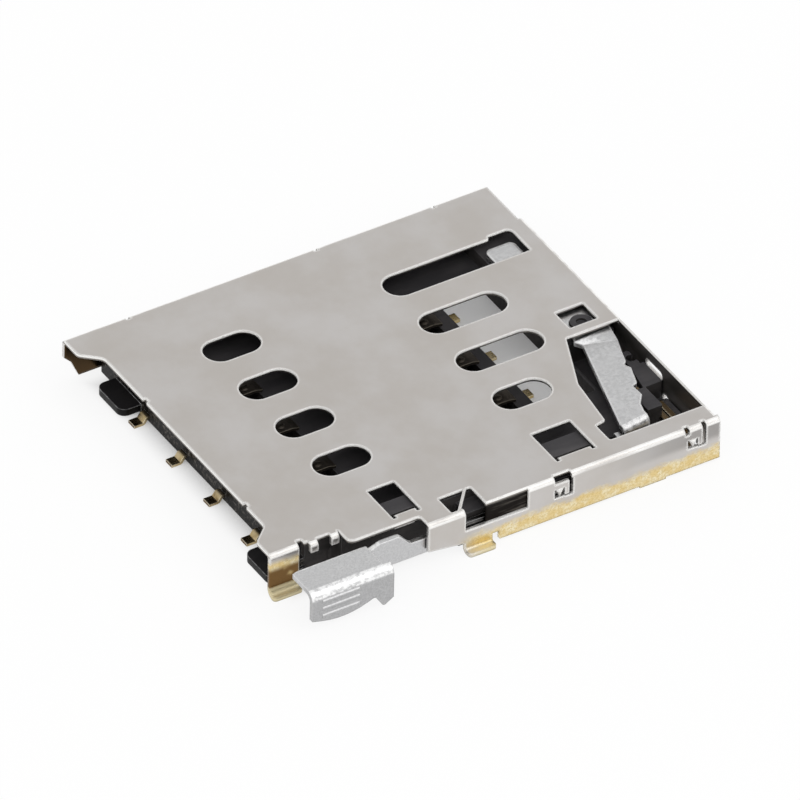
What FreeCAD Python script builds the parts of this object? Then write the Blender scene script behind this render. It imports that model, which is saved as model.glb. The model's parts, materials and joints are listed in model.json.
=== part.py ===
"""Memory card connector: a moulded contact carrier under a folded sheet-metal shell.

The card slides in from the left end (-X) between the carrier's floor and the shell. A push rod
beside the entry turns a sheet-metal lever at the far end, and the lever kicks the card back out.
Lengths are millimetres. X runs from the card entry to the lever end, Y from the rod side to the
back, Z up from the board. The origin is the centre of the shell's footprint on the board.
"""
import FreeCAD, Part
import math
import os

Vector = FreeCAD.Vector
UP = Vector(0, 0, 1)

# Shell: overall size and sheet
SHELL_LENGTH = 18.15
SHELL_WIDTH = 15.85
HEIGHT = 1.90
SHEET = 0.15
BEND_INSIDE = 0.08
WALL_BOTTOM = 0.08
CORNER = 0.05
SMALL_ROUND = 0.10
MIDDLE_ROUND = 0.15
ROUND = 0.30
WIDE_ROUND = 0.40
NEARLY = 0.999

# Shell: left end, measured from its left edge and from the front and back faces
RECESS_DEPTH = 0.725
RECESS_BACK_INSET = 1.725
RECESS_FRONT_INSET = 2.975
RECESS_RUN = 0.65
EDGE_NOTCH = 0.12
EDGE_NOTCH_BACK = 2.85
EDGE_NOTCH_FRONT = 1.35
LEG_INSET = 1.375
LEG_LENGTH = 1.225
FOOT_REACH = 0.34
FOOT_CORNER = 0.14
TAB_INSET = 1.225
TAB_OFFSETS = (1.625, 2.50)
TAB_WIDTH = 0.32
TAB_DROP = 0.42
STEP_LENGTH = 2.875
STEP_INSET = 0.655
WALL_START = 5.825
BACK_END_DROP = 0.80
BACK_END_LENGTH = 0.625
BACK_SWEEP = 0.30

# Shell: square holes, whose flaps hold the carrier down, and the cut-out over the rod
HOLD_WIDTHS = (1.15, 1.65)
HOLD_LENGTHS = (1.71, 1.67)
HOLD_INSETS = (1.125, 0.975)
HOLD_ONE_X = -4.15
HOLD_TWO_INSET = 6.425
HOLD_FLAP_DROP = 0.50
RELIEF = 0.16
CUTOUT_LEFT = -2.17
CUTOUT_WIDE = 1.37
CUTOUT_LENGTH = 3.12
CUTOUT_INSET = 1.175
CUTOUT_DROP = 0.90
TAB_END = 0.48
CUTOUT_LIP = 0.12
SHORT_WALL_Z = 0.45
SHORT_WALL_LENGTH = 0.47
SHORT_WALL_RISE = 0.22
FOOT_WIDTH = 1.16
LUG_INSET = 3.375
LUG_WIDTH = 1.10

# Shell: latch fingers in the walls, and the openings at the lever end
LATCH_ONE_X = 2.85
LATCH_TWO_INSET = 0.585
LATCH_BITE = 0.35
LATCH_LOW_DROP = 0.97
LATCH_NOTCHES = ((0.78, 0.72), (0.90, 0.19))
SLIT = 0.17
SLIT_DROPS = (BEND_INSIDE + SHEET, -SHEET)
BARB = 0.17
BARB_INSET = 0.57
BARB_RISE = 0.26
BACK_LATCH_LEFT = 3.475
BACK_LATCH_X = 2.35
BACK_LATCH_RIGHT = 1.725
REAR_STEP_INSET = 2.325
REAR_STEP_Z = 0.60
OPENING_BACK_INSET = 0.74
OPENING_FRONT_INSET = 0.925
VIEW_SLOT_RADIUS = 0.17
VIEW_SLOT_SPAN = 0.75
VIEW_SLOT_Z = 1.24
VIEW_SLOT_BACK = 0.27
VIEW_HOLE = 0.20
VIEW_HOLE_FRONT = 0.17
VIEW_HOLE_Z = 0.40
STRAP = 0.13
PIVOT_WINDOW_LEFT = 0.28
PIVOT_WINDOW_RIGHT = 0.08
PIVOT_WINDOW_FRONT = 0.33
PIVOT_WINDOW_BACK = 0.72
OPENING_REACH = 2.85
OPENING_NECK = 0.45
OPENING_LEDGE = 0.97
OPENING_TAPER = 0.26
OPENING_WAIST = 3.25
OPENING_BACK_LEFT = 1.11

# Contact grid: two columns of windows over four rows, on the standard card pitch
ROW_PITCH = 2.54
COLUMN_PITCH = 7.62
ROW_ONE_Y = 4.475
LEFT_CAP_X = -4.50
WINDOW_RADIUS = 0.65
LEFT_CAP_SPAN = 0.98
LONG_CAP_SPAN = 2.25
LAST_CAP_SPAN = 1.00
TIP_WINDOW_STEP = 0.175
TIP_WINDOW_REACH = 0.50
TIP_WINDOW_LENGTH = 1.00

# Card and carrier
CARD_WIDTH = 12.0
CARD_CLEARANCE = 0.07
CARD_STOP_INSET = 2.175
CONTACT_SHIFT = 0.90
FLOOR = 0.75
CARRIER_INSET = 1.475
WALL_GAP = 0.06
ROOF_GAP = 0.04
RAIL = 0.25
RAIL_START = 0.30
SHELF_LIP = 0.55
WINDOW_WEB = 0.63
STOP_WEB = 0.12
FLOOR_WINDOW_BACK = 4.75
FLOOR_WINDOW_FRONT = -3.10
EAR_LOW = 0.12
EAR_THICKNESS = 0.30
EAR_CORNER = 0.34
EAR_BACK = (0.85, 4.80, 1.80)
EAR_FRONT_REACH = 1.20
EAR_FRONT_WIDTH = 1.85
EAR_GAP = 0.25
POCKET_FLOOR = 0.42
POCKET_LAP = 0.10
RAIL_END_GAP = 0.55
PIN_DIMPLE = 0.12
BLOCK_REACH = 3.85
BLOCK_LENGTH = 1.20
BLOCK_LEFT = 0.28
BLOCK_RIGHT = 0.34
SHOULDER_LENGTH = 1.26
SHOULDER_FRONT = 0.26
SHOULDER_BACK = 0.48
BED_WEB = 0.25
BOSS_LENGTH = 0.85
BLOCK_GAP = 0.10
BOSS_HOLE = 0.20
BOSS_HOLE_OUT = 0.79

# Contacts
SPRING_SHEET = 0.12
SPRING_WIDTH = 0.70
SPRING_ROOT = 0.50
ARM_ROOT = 0.30
SPRING_TOP = 1.36
TIP_REACH = 0.60
TIP_DROP = 0.20
DIMPLE_RADIUS = 0.30
STRAP_Z = 0.27
STRAP_WIDTH = 0.42
FRAME_WIDTH = 2.30
FRAME_TAIL = 0.92
WELL_FLOOR = 0.14
WELL_GAP = 0.12
TAIL_REACH = 0.68
TAIL_BEND = 0.10
TAIL_KNEE = 0.14
TAIL_ONE_Y = 4.37
TAIL_ROOT = 1.20
TAIL_SPREAD = 0.07

# Card-detect switch
SWITCH_GAP = 0.16
SWITCH_WIDTH = 0.40
SWITCH_STRAP_WIDTH = 0.24
SWITCH_TAIL_INSET = 0.975
SWITCH_TAIL_REACH = 0.50
NOSE_REACH = 2.00
NOSE_HOOK = (0.22, 0.16)
NOSE_BEND = 0.12
NOSE_OUTS = (0.55, 0.18)
ROOT_OUTS = (0.05, -0.17)
STRAP_OUTS = (-0.36, -0.66)
TURN_REACHES = (4.72, 4.42)
ROOT_LENGTH = 0.35

# Push rod
ROD_SHEET = 0.20
ROD_GAP = 0.06
ROD_LOW = 0.52
ROD_TOP_GAP = 0.12
HUMP_GAP = 0.06
HUMP_SHOULDER = 0.45
HUMP_START = (0.62, 0.18)
GRIP_SLIT = 0.14
HUMP_LENGTH = 1.42
GRIP_LEFT_INSET = 0.225
GRIP_LENGTH = 3.10
GRIP_REACH = 1.195
GRIP_DROP = 0.10
GRIP_SHOULDER = 0.30
GRIP_HOOK = 0.32
GRIP_BACK_BEND = 0.13
GRIP_FRONT_BEND = 0.34
GRIP_BEND = 0.24
GRIP_WEB = 0.95
GRIP_CORNER = (0.50, 0.20)
GRIP_RIB_DROPS = (0.47, 0.79, 1.12)
GRIP_RIB = 0.09
GRIP_RIB_PROUD = 0.045
GRIP_RIB_INSET = 0.42
GRIP_RIB_LENGTH = 1.56
GRIP_WAVE = ((0.06, 1.46, 0), (0.02, 1.44, 0.12), (0.42, 1.70, 0.12), (0.79, 1.14, 0.12),
             (2.02, 1.62, 3.0), (3.45, 1.22, 0.1))

# Eject lever, measured from its pivot
PIVOT_INSET = 1.275
PIVOT_Y = -0.45
PIVOT_RADIUS = 0.42
PIVOT_PLAY = 0.03
LEVER_SHEET = 0.20
LEVER_GAP = 0.13
LEVER_STEP = 0.12
SHELF_GAP = 0.09
ARM_LEFT = 0.83
ARM_RIGHT = 0.38
ARM_REACH = 5.35
ARM_TIP_RADIUS = 0.24
WAIST_REACH = 1.55
EYE_LEFT = 0.62
EYE_RIGHT = 0.78
STEP_HALF = 0.80
STEP_LEFT = 0.80
STEP_RIGHT = 0.69
CREASE_LEFT = (0.53, 0.97)
CREASE_RIGHT = (0.72, 1.34)
ARM_NOTCHES = (
    (-0.51, 4.89), (-0.20, 4.49), (-0.20, 4.21), (-0.23, 3.89), (0.01, 3.81),
    (0.29, 2.95), (0.16, 2.70), (0.32, 2.55), (0.49, 2.00))
TOE_LEFT_OUT = 1.80
TOE_LEFT_REACH = 5.54
TOE_RIGHT_OUT = 0.63
TOE_RIGHT_REACH = 5.34
TOE_DROP = 0.60
TOE_BEND = 0.12
TOE_LAP = 0.02
FINGER_GAP = 0.05

# Derived places
LEFT = -SHELL_LENGTH / 2
RIGHT = SHELL_LENGTH / 2
BACK = SHELL_WIDTH / 2
FRONT = -SHELL_WIDTH / 2
UNDER = HEIGHT - SHEET
BEND_OUTSIDE = BEND_INSIDE + SHEET
BEND_MID = BEND_INSIDE + SHEET / 2
RECESS_X = LEFT + RECESS_DEPTH
RECESS_BACK = BACK - RECESS_BACK_INSET
RECESS_FRONT = FRONT + RECESS_FRONT_INSET
EDGE_NOTCH_YS = (RECESS_BACK - EDGE_NOTCH_BACK, RECESS_FRONT + EDGE_NOTCH_FRONT)
LEG_Y = FRONT + LEG_INSET
LEG_END = LEFT + LEG_LENGTH
TAB_EDGE_Y = FRONT + TAB_INSET
TAB_XS = [LEFT + offset for offset in TAB_OFFSETS]
STEP_X = LEFT + STEP_LENGTH
STEP_Y = FRONT + STEP_INSET
FRONT_WALL_START = LEFT + WALL_START
BACK_END_X = LEFT + BACK_END_LENGTH
BACK_END_Z = HEIGHT - BACK_END_DROP
CUTOUT_STEP = CUTOUT_LEFT + CUTOUT_WIDE
CUTOUT_RIGHT = CUTOUT_LEFT + CUTOUT_LENGTH
CUTOUT_Y = FRONT + CUTOUT_INSET
CUTOUT_Z = HEIGHT - CUTOUT_DROP
SHORT_WALL_END = CUTOUT_LEFT + SHORT_WALL_LENGTH
FOOT_END = SHORT_WALL_END + FOOT_WIDTH
LUG_START = RIGHT - LUG_INSET
HOLD_XS = (HOLD_ONE_X, RIGHT - HOLD_TWO_INSET)
LATCH_XS = (LATCH_ONE_X, RIGHT - LATCH_TWO_INSET)
LATCH_LOW = HEIGHT - LATCH_LOW_DROP
BACK_LATCH_XS = (LEFT + BACK_LATCH_LEFT, BACK_LATCH_X, RIGHT - BACK_LATCH_RIGHT)
REAR_STEP_Y = BACK - REAR_STEP_INSET
PIVOT_X = RIGHT - PIVOT_INSET
OPENING_BACK = PIVOT_Y - OPENING_BACK_INSET
OPENING_FRONT = FRONT + OPENING_FRONT_INSET
ROW_YS = [ROW_ONE_Y - row * ROW_PITCH for row in range(4)]
RIGHT_CAP_X = LEFT_CAP_X + COLUMN_PITCH
CONTACT_YS = [y + CONTACT_SHIFT for y in ROW_YS[1:]]
TAIL_PITCH = ROW_PITCH + TAIL_SPREAD
CARD_Y = CONTACT_YS[1]
CARD_STOP_X = RIGHT - CARD_STOP_INSET
GUIDE_BACK = CARD_Y + CARD_WIDTH / 2 + CARD_CLEARANCE
GUIDE_FRONT = CARD_Y - CARD_WIDTH / 2 - CARD_CLEARANCE
ROD_OUT = FRONT + SHEET + ROD_GAP
ROD_IN = ROD_OUT + ROD_SHEET
ROD_MID = (ROD_OUT + ROD_IN) / 2
CARRIER_LEFT = LEFT + CARRIER_INSET
CARRIER_FRONT = ROD_IN + ROD_GAP
CARRIER_BACK = BACK - SHEET - WALL_GAP
CARRIER_RIGHT = RIGHT - SHEET - WALL_GAP
RAIL_EDGE = (CARRIER_FRONT + GUIDE_FRONT - RAIL) / 2
ROOF = UNDER - ROOF_GAP
WELL_REACH = TIP_REACH + WELL_GAP
FLOOR_WINDOW_LEFT = RIGHT_CAP_X + WELL_REACH + WINDOW_WEB
FLOOR_WINDOW_RIGHT = CARD_STOP_X - STOP_WEB
SPRING_LENGTH = LEFT_CAP_X - CARRIER_LEFT - SPRING_ROOT
LEVER_TOP = UNDER - LEVER_GAP
LEVER_LOW = LEVER_TOP - LEVER_SHEET
ARM_TOP = LEVER_TOP - LEVER_STEP
ARM_LOW = ARM_TOP - LEVER_SHEET
SHELF = LEVER_LOW - SHELF_GAP
TOE_LEFT = (PIVOT_X - TOE_LEFT_OUT, PIVOT_Y - TOE_LEFT_REACH)
TOE_RIGHT = (PIVOT_X - TOE_RIGHT_OUT, PIVOT_Y - TOE_RIGHT_REACH)
FINGER_X = TOE_LEFT[0] - FINGER_GAP - ROD_SHEET
ROD_TOP = ARM_LOW - ROD_TOP_GAP
HUMP_TOP = UNDER - HUMP_GAP
GRIP_LEFT = LEFT + GRIP_LEFT_INSET
GRIP_RIGHT = GRIP_LEFT + GRIP_LENGTH
GRIP_TOP = HEIGHT - GRIP_DROP
GRIP_FACE = FRONT - GRIP_REACH
SWITCH_HIGH = ARM_LOW - SWITCH_GAP
BLOCK_TOP = ARM_LOW - BLOCK_GAP
SWITCH_LOW = SWITCH_HIGH - SWITCH_WIDTH
SWITCH_STRAP_Z = SWITCH_LOW - SPRING_SHEET / 2
SWITCH_TAIL_END = FRONT + SWITCH_TAIL_INSET
BLOCK_BACK = PIVOT_Y - BLOCK_REACH
POCKET_LEFT = FINGER_X - ROD_SHEET - 2 * ROD_GAP - FINGER_GAP


def box(x0, x1, y0, y1, z0, z1):
    """Block between the given limits."""
    return Part.makeBox(x1 - x0, y1 - y0, z1 - z0, Vector(x0, y0, z0))


def outline(corners, place):
    """Closed wire through corners (u, v, radius), straight runs joined by tangent arcs."""
    edges = []
    spans = []
    count = len(corners)
    for i, (u, v, radius) in enumerate(corners):
        here = Vector(u, v, 0)
        before = Vector(*corners[i - 1][:2], 0)
        after = Vector(*corners[(i + 1) % count][:2], 0)
        to_before = (before - here).normalize()
        to_after = (after - here).normalize()
        half = to_before.getAngle(to_after) / 2
        if radius <= 0 or half > math.pi / 2 - 1e-4:
            spans.append((here, here, here))
            continue
        cut = radius / math.tan(half)
        middle = (to_before + to_after).normalize()
        peak = here + middle * (radius / math.sin(half) - radius)
        spans.append((here + to_before * cut, peak, here + to_after * cut))
    for i, (start, peak, end) in enumerate(spans):
        if start.distanceToPoint(end) > 1e-6:
            edges.append(Part.Arc(place(start), place(peak), place(end)).toShape())
        onward = spans[(i + 1) % count][0]
        if end.distanceToPoint(onward) > 1e-6:
            edges.append(Part.makeLine(place(end), place(onward)))
    return Part.Wire(edges)


def strip(path, thick):
    """Corners of a sheet's section, thick wide, along the centre line path of (u, v, radius)."""
    left_side = []
    right_side = []
    last = len(path) - 1
    for i, (u, v, radius) in enumerate(path):
        here = Vector(u, v, 0)
        runs = []
        if i > 0:
            runs.append((here - Vector(*path[i - 1][:2], 0)).normalize())
        if i < last:
            runs.append((Vector(*path[i + 1][:2], 0) - here).normalize())
        normals = [Vector(-run.y, run.x, 0) for run in runs]
        mitre = (normals[0] + normals[-1]) / (1 + normals[0].dot(normals[-1]))
        turn = runs[0].cross(runs[-1]).z
        inner = max(radius - thick / 2, 0) if radius else 0
        outer = radius + thick / 2 if radius else 0
        radii = (inner, outer) if turn > 0 else (outer, inner)
        left = here + mitre * (thick / 2)
        right = here - mitre * (thick / 2)
        left_side.append((left.x, left.y, radii[0]))
        right_side.append((right.x, right.y, radii[1]))
    return left_side + right_side[::-1]


def flat(corners, z0, z1):
    """Plate with an outline in X and Y, from z0 up to z1."""
    face = Part.Face(outline(corners, lambda p: Vector(p.x, p.y, z0)))
    return face.extrude(Vector(0, 0, z1 - z0))


def plate(x0, x1, y0, y1, radius, z0, z1):
    """Rectangular plate with rounded corners."""
    corners = [(x0, y0, radius), (x1, y0, radius), (x1, y1, radius), (x0, y1, radius)]
    return flat(corners, z0, z1)


def along_x(corners, x0, x1):
    """Section given in Y and Z, drawn out from x0 to x1."""
    face = Part.Face(outline(corners, lambda p: Vector(x0, p.x, p.y)))
    return face.extrude(Vector(x1 - x0, 0, 0))


def along_y(corners, y0, y1):
    """Section given in X and Z, drawn out from y0 to y1."""
    face = Part.Face(outline(corners, lambda p: Vector(p.x, y0, p.y)))
    return face.extrude(Vector(0, y1 - y0, 0))


def joined(pieces):
    """One clean solid from pieces that overlap or share faces."""
    return pieces[0].fuse(pieces[1:]).removeSplitter()


def long_hole(x, y, span, radius, z0, z1):
    """Round-ended slot whose left cap is centred on x and right cap on x + span."""
    corners = [
        (x - radius, y - radius, radius),
        (x + span + radius, y - radius, radius),
        (x + span + radius, y + radius, radius),
        (x - radius, y + radius, radius),
    ]
    return flat([(u, v, r * NEARLY) for u, v, r in corners], z0, z1)


def side_wall(face_y, inward, bottom, x0, x1):
    """Wall folded down from the top along X; inward is +1 or -1 towards the middle."""
    mid = face_y + inward * SHEET / 2
    path = [
        (face_y + inward * BEND_OUTSIDE, HEIGHT - SHEET / 2, 0),
        (mid, HEIGHT - SHEET / 2, BEND_MID),
        (mid, bottom, 0),
    ]
    return along_x(strip(path, SHEET), x0, x1)


def top_plate():
    """Flat top of the shell, up to the lines where its walls start to bend."""
    bend = BEND_OUTSIDE
    corners = [
        (LEFT, BACK - bend, 0),
        (LEFT, RECESS_BACK + RECESS_RUN, ROUND),
        (RECESS_X, RECESS_BACK, WIDE_ROUND),
    ]
    for y in EDGE_NOTCH_YS:
        corners += [
            (RECESS_X, y + EDGE_NOTCH, 0),
            (RECESS_X + EDGE_NOTCH, y + EDGE_NOTCH, 0),
            (RECESS_X + EDGE_NOTCH, y - EDGE_NOTCH, 0),
            (RECESS_X, y - EDGE_NOTCH, 0),
        ]
    corners += [
        (RECESS_X, RECESS_FRONT, WIDE_ROUND),
        (LEFT, RECESS_FRONT - RECESS_RUN, ROUND),
        (LEFT, LEG_Y + bend, 0),
        (LEG_END, LEG_Y + bend, 0),
        (LEG_END, TAB_EDGE_Y + 2 * bend, CORNER),
        (TAB_XS[0] - RELIEF, TAB_EDGE_Y + 2 * bend, CORNER),
        (TAB_XS[0] - RELIEF, TAB_EDGE_Y + bend, CORNER),
        (STEP_X, TAB_EDGE_Y + bend, CORNER),
        (STEP_X, STEP_Y, ROUND),
        (FRONT_WALL_START, STEP_Y, SMALL_ROUND),
        (FRONT_WALL_START, FRONT + bend, 0),
        (RIGHT - bend, FRONT + bend, 0),
        (RIGHT - bend, BACK - bend, 0),
    ]
    return flat(corners, UNDER, HEIGHT)


def right_wall():
    """Wall at the lever end, folded down from the top behind the lever's window."""
    mid = RIGHT - SHEET / 2
    path = [
        (RIGHT - BEND_OUTSIDE, HEIGHT - SHEET / 2, 0),
        (mid, HEIGHT - SHEET / 2, BEND_MID),
        (mid, WALL_BOTTOM, 0),
    ]
    wall = along_y(strip(path, SHEET), FRONT + BEND_OUTSIDE, REAR_STEP_Y)
    rim = box(RIGHT - BEND_OUTSIDE, RIGHT, OPENING_FRONT, OPENING_BACK, HEIGHT - SHEET / 3, HEIGHT)
    slot = long_hole(0, 0, VIEW_SLOT_SPAN, VIEW_SLOT_RADIUS, -SHEET, SHEET)
    slot.rotate(Vector(0, 0, 0), UP, 90)
    slot.rotate(Vector(0, 0, 0), Vector(0, 1, 0), 90)
    slot.translate(Vector(mid, BLOCK_BACK + VIEW_SLOT_BACK, VIEW_SLOT_Z))
    start = Vector(RIGHT - 2 * SHEET, BLOCK_BACK - VIEW_HOLE_FRONT, VIEW_HOLE_Z)
    hole = Part.makeCylinder(VIEW_HOLE, 3 * SHEET, start, Vector(1, 0, 0))
    return wall.cut(rim).cut(slot).cut(hole)


def back_wall():
    """Wall along the back, with its swept left end and bent-in latch fingers."""
    wall = side_wall(BACK, -1, WALL_BOTTOM, LEFT, RIGHT - BEND_OUTSIDE)
    sweep = [
        (LEFT - SHEET, BACK_END_Z, 0),
        (LEFT, BACK_END_Z, SMALL_ROUND),
        (LEFT + BACK_SWEEP, BACK_END_Z - BACK_SWEEP, BACK_SWEEP),
        (BACK_END_X, WALL_BOTTOM, 0),
        (BACK_END_X, -SHEET, 0),
        (LEFT - SHEET, -SHEET, 0),
    ]
    wall = wall.cut(along_y(sweep, BACK - 2 * SHEET, BACK + SHEET))
    x0 = RIGHT - BEND_OUTSIDE - 2 * SHEET
    corner = box(x0, RIGHT, BACK - 2 * SHEET, BACK + SHEET, -SHEET, REAR_STEP_Z)
    wall = wall.cut(corner)
    for x in BACK_LATCH_XS:
        wall = wall.cut(latch_slits(x, BACK, SLIT_DROPS[0], *LATCH_NOTCHES[1]))
    return wall


def latch_slits(x, face_y, drop, notch_inset, notch_width):
    """Slit down from the bend and along below, which frees a latch tab, and the notch at its other side."""
    y0 = face_y - 2 * BEND_OUTSIDE
    y1 = face_y + 2 * BEND_OUTSIDE
    tall = box(x - SLIT, x, y0, y1, LATCH_LOW, HEIGHT - drop)
    lower = box(x - LATCH_BITE, x, y0, y1, LATCH_LOW, LATCH_LOW + SLIT / 2)
    notch_x = x - notch_inset
    notch = box(notch_x, notch_x + notch_width, y0, y1, HEIGHT - 2 * SHEET, HEIGHT + SHEET)
    return tall.fuse([lower, notch])


def barb_hole(x, face_y):
    """Hole that leaves a pointed tongue hanging from its upper edge."""
    z = LATCH_LOW + BARB_RISE
    reach = BARB + CORNER
    hole = box(x - reach, x + reach, face_y - 2 * SHEET, face_y + 2 * SHEET, z - reach, z + BARB)
    tongue = [(x - BARB, z + BARB, 0), (x + BARB, z + BARB, 0), (x, z - BARB, 0)]
    return hole.cut(along_y(tongue, face_y - 2 * SHEET, face_y + 2 * SHEET))


def barb(x, face_y, outward):
    """Small pointed bite pressed out of a wall's tongue."""
    z = LATCH_LOW + BARB_RISE
    base = [
        Vector(x - BARB, face_y, z + BARB),
        Vector(x + BARB, face_y, z + BARB),
        Vector(x, face_y, z - BARB),
    ]
    peak = Vector(x, face_y + outward * BARB / 2, z + BARB / 2)
    loops = [base, [base[0], base[1], peak], [base[1], base[2], peak], [base[2], base[0], peak]]
    faces = [Part.Face(Part.makePolygon(loop + [loop[0]])) for loop in loops]
    return Part.Solid(Part.Shell(faces))


def front_wall():
    """Wall along the rod side: short at the rod's entry, cut open over the rod, latched to the carrier."""
    wall = side_wall(FRONT, 1, WALL_BOTTOM, FRONT_WALL_START, RIGHT)
    y0 = FRONT - SHEET
    y1 = FRONT + 2 * SHEET
    below = [
        (FRONT_WALL_START - 1, -SHEET, 0),
        (SHORT_WALL_END, -SHEET, 0),
        (SHORT_WALL_END, SHORT_WALL_Z, CORNER),
        (FRONT_WALL_START, SHORT_WALL_Z + SHORT_WALL_RISE, 0),
        (FRONT_WALL_START - 1, SHORT_WALL_Z + SHORT_WALL_RISE, 0),
    ]
    relief = box(SHORT_WALL_END - SHEET, FOOT_END + 2 * SHEET, y0, y1, -SHEET, SHORT_WALL_Z)
    slot = box(
        CUTOUT_LEFT + TAB_END, CUTOUT_RIGHT, y0, FRONT + BEND_OUTSIDE - CUTOUT_LIP, CUTOUT_Z, HEIGHT + SHEET)
    wall = wall.cut([along_y(below, y0, y1), relief, slot])
    pieces = [wall, solder_foot(FRONT, SHORT_WALL_END, FOOT_END, SHORT_WALL_Z, BEND_MID)]
    pieces.append(box(LUG_START, LUG_START + LUG_WIDTH, FRONT, FRONT + SHEET, 0, WALL_BOTTOM + SHEET))
    for x in LATCH_XS:
        pieces.append(barb(x - BARB_INSET, FRONT, -1))
    wall = joined(pieces)
    for x, drop, notch in zip(LATCH_XS, SLIT_DROPS, LATCH_NOTCHES):
        wall = wall.cut(barb_hole(x - BARB_INSET, FRONT))
        wall = wall.cut(latch_slits(x, FRONT, drop, *notch))
    return wall


def solder_foot(face_y, x0, x1, top, bend):
    """Foot turned outward from the bottom of a wall, with rounded corners."""
    path = [
        (face_y + SHEET / 2, top, 0),
        (face_y + SHEET / 2, SHEET / 2, bend),
        (face_y - FOOT_REACH, SHEET / 2, 0),
    ]
    keep = plate(x0, x1, face_y - FOOT_REACH, face_y + 1, FOOT_CORNER, -SHEET, HEIGHT)
    return along_x(strip(path, SHEET), x0, x1).common(keep)


def left_leg():
    """Short wall at the card entry, splayed into a solder foot."""
    wall = side_wall(LEG_Y, 1, 2 * SHEET, LEFT, LEG_END)
    return wall.fuse(solder_foot(LEG_Y, LEFT, LEG_END, 3 * SHEET, 2 * SHEET))


def edge_tab(x):
    """Small tab bent down from the stepped front edge."""
    path = [
        (TAB_EDGE_Y + BEND_OUTSIDE, HEIGHT - SHEET / 2, 0),
        (TAB_EDGE_Y + SHEET / 2, HEIGHT - SHEET / 2, BEND_MID),
        (TAB_EDGE_Y + SHEET / 2, HEIGHT - TAB_DROP, 0),
    ]
    return along_x(strip(path, SHEET), x, x + TAB_WIDTH)


def hold_flap(x0, x1, y0):
    """Flap bent down from the front edge of a square hole, into the carrier's rail."""
    path = [
        (y0 - BEND_OUTSIDE, HEIGHT - SHEET / 2, 0),
        (y0 + SHEET / 2, HEIGHT - SHEET / 2, BEND_MID),
        (y0 + SHEET / 2, UNDER - HOLD_FLAP_DROP, 0),
    ]
    return along_x(strip(path, SHEET), x0 + RELIEF, x1 - RELIEF)


def rod_strap():
    """Narrow strap left standing across the cut-out over the rod, from the wall to the top."""
    x0 = CUTOUT_LEFT + TAB_END - 2 * STRAP
    x1 = CUTOUT_STEP - STRAP
    y0 = FRONT + BEND_OUTSIDE - CORNER
    y1 = CUTOUT_Y + CORNER
    return flat([(x0, y0, 0), (x0 + STRAP, y0, 0), (x1, y1, 0), (x1 - STRAP, y1, 0)], UNDER, HEIGHT)


def row_windows():
    """Windows over the contact rows: round-ended slots, and the long one over the lever's tip."""
    z0 = UNDER - SHEET
    z1 = HEIGHT + SHEET
    holes = [long_hole(LEFT_CAP_X, y, LEFT_CAP_SPAN, WINDOW_RADIUS, z0, z1) for y in ROW_YS]
    spans = (LONG_CAP_SPAN, LONG_CAP_SPAN, LAST_CAP_SPAN)
    for y, span in zip(ROW_YS[1:], spans):
        holes.append(long_hole(RIGHT_CAP_X, y, span, WINDOW_RADIUS, z0, z1))
    low = ROW_ONE_Y - WINDOW_RADIUS
    high = ROW_ONE_Y + WINDOW_RADIUS
    round_end = WINDOW_RADIUS * NEARLY
    end = PIVOT_X + TIP_WINDOW_REACH
    step = end - TIP_WINDOW_LENGTH
    long_window = [
        (RIGHT_CAP_X - WINDOW_RADIUS, low, round_end),
        (end, low, CORNER),
        (end, high + TIP_WINDOW_STEP, ARM_TIP_RADIUS),
        (step, high + TIP_WINDOW_STEP, 2 * CORNER),
        (step, high, CORNER),
        (RIGHT_CAP_X - WINDOW_RADIUS, high, round_end),
    ]
    holes.append(flat(long_window, z0, z1))
    return holes


def hold_holes():
    """Square holes for the carrier's flaps, with relief notches at the bend's two corners."""
    z0 = UNDER - SHEET
    z1 = HEIGHT + SHEET
    holes = []
    for x0, x1, y0, y1 in hold_limits():
        holes.append(plate(x0, x1, y0, y1, CORNER, z0, z1))
        for x in (x0, x1 - RELIEF):
            holes.append(box(x, x + RELIEF, y0 - RELIEF, y0 + RELIEF, z0, z1))
    x0 = PIVOT_X - PIVOT_RADIUS - PIVOT_WINDOW_LEFT
    x1 = PIVOT_X + PIVOT_RADIUS + PIVOT_WINDOW_RIGHT
    holes.append(plate(x0, x1, PIVOT_Y - PIVOT_WINDOW_FRONT, PIVOT_Y + PIVOT_WINDOW_BACK, CORNER, z0, z1))
    return holes


def hold_limits():
    """Left, right, front and back of each square hole."""
    limits = []
    for x, width, length, inset in zip(HOLD_XS, HOLD_WIDTHS, HOLD_LENGTHS, HOLD_INSETS):
        limits.append((x, x + width, FRONT + inset, FRONT + inset + length))
    return limits


def lever_window():
    """Opening over the lever's front arm, reaching the right wall."""
    left = PIVOT_X - OPENING_REACH
    neck = left + OPENING_NECK
    ledge = OPENING_FRONT + OPENING_LEDGE
    corners = [
        (PIVOT_X - OPENING_BACK_LEFT, OPENING_BACK, 2 * CORNER),
        (RIGHT - SHEET, OPENING_BACK, 0),
        (RIGHT - SHEET, OPENING_FRONT, 0),
        (left, OPENING_FRONT, 2 * CORNER),
        (left, ledge, CORNER),
        (neck, ledge + 2 * CORNER, CORNER),
        (neck + OPENING_TAPER, PIVOT_Y - OPENING_WAIST, WIDE_ROUND),
    ]
    return flat(corners, UNDER - SHEET, HEIGHT + SHEET)


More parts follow.
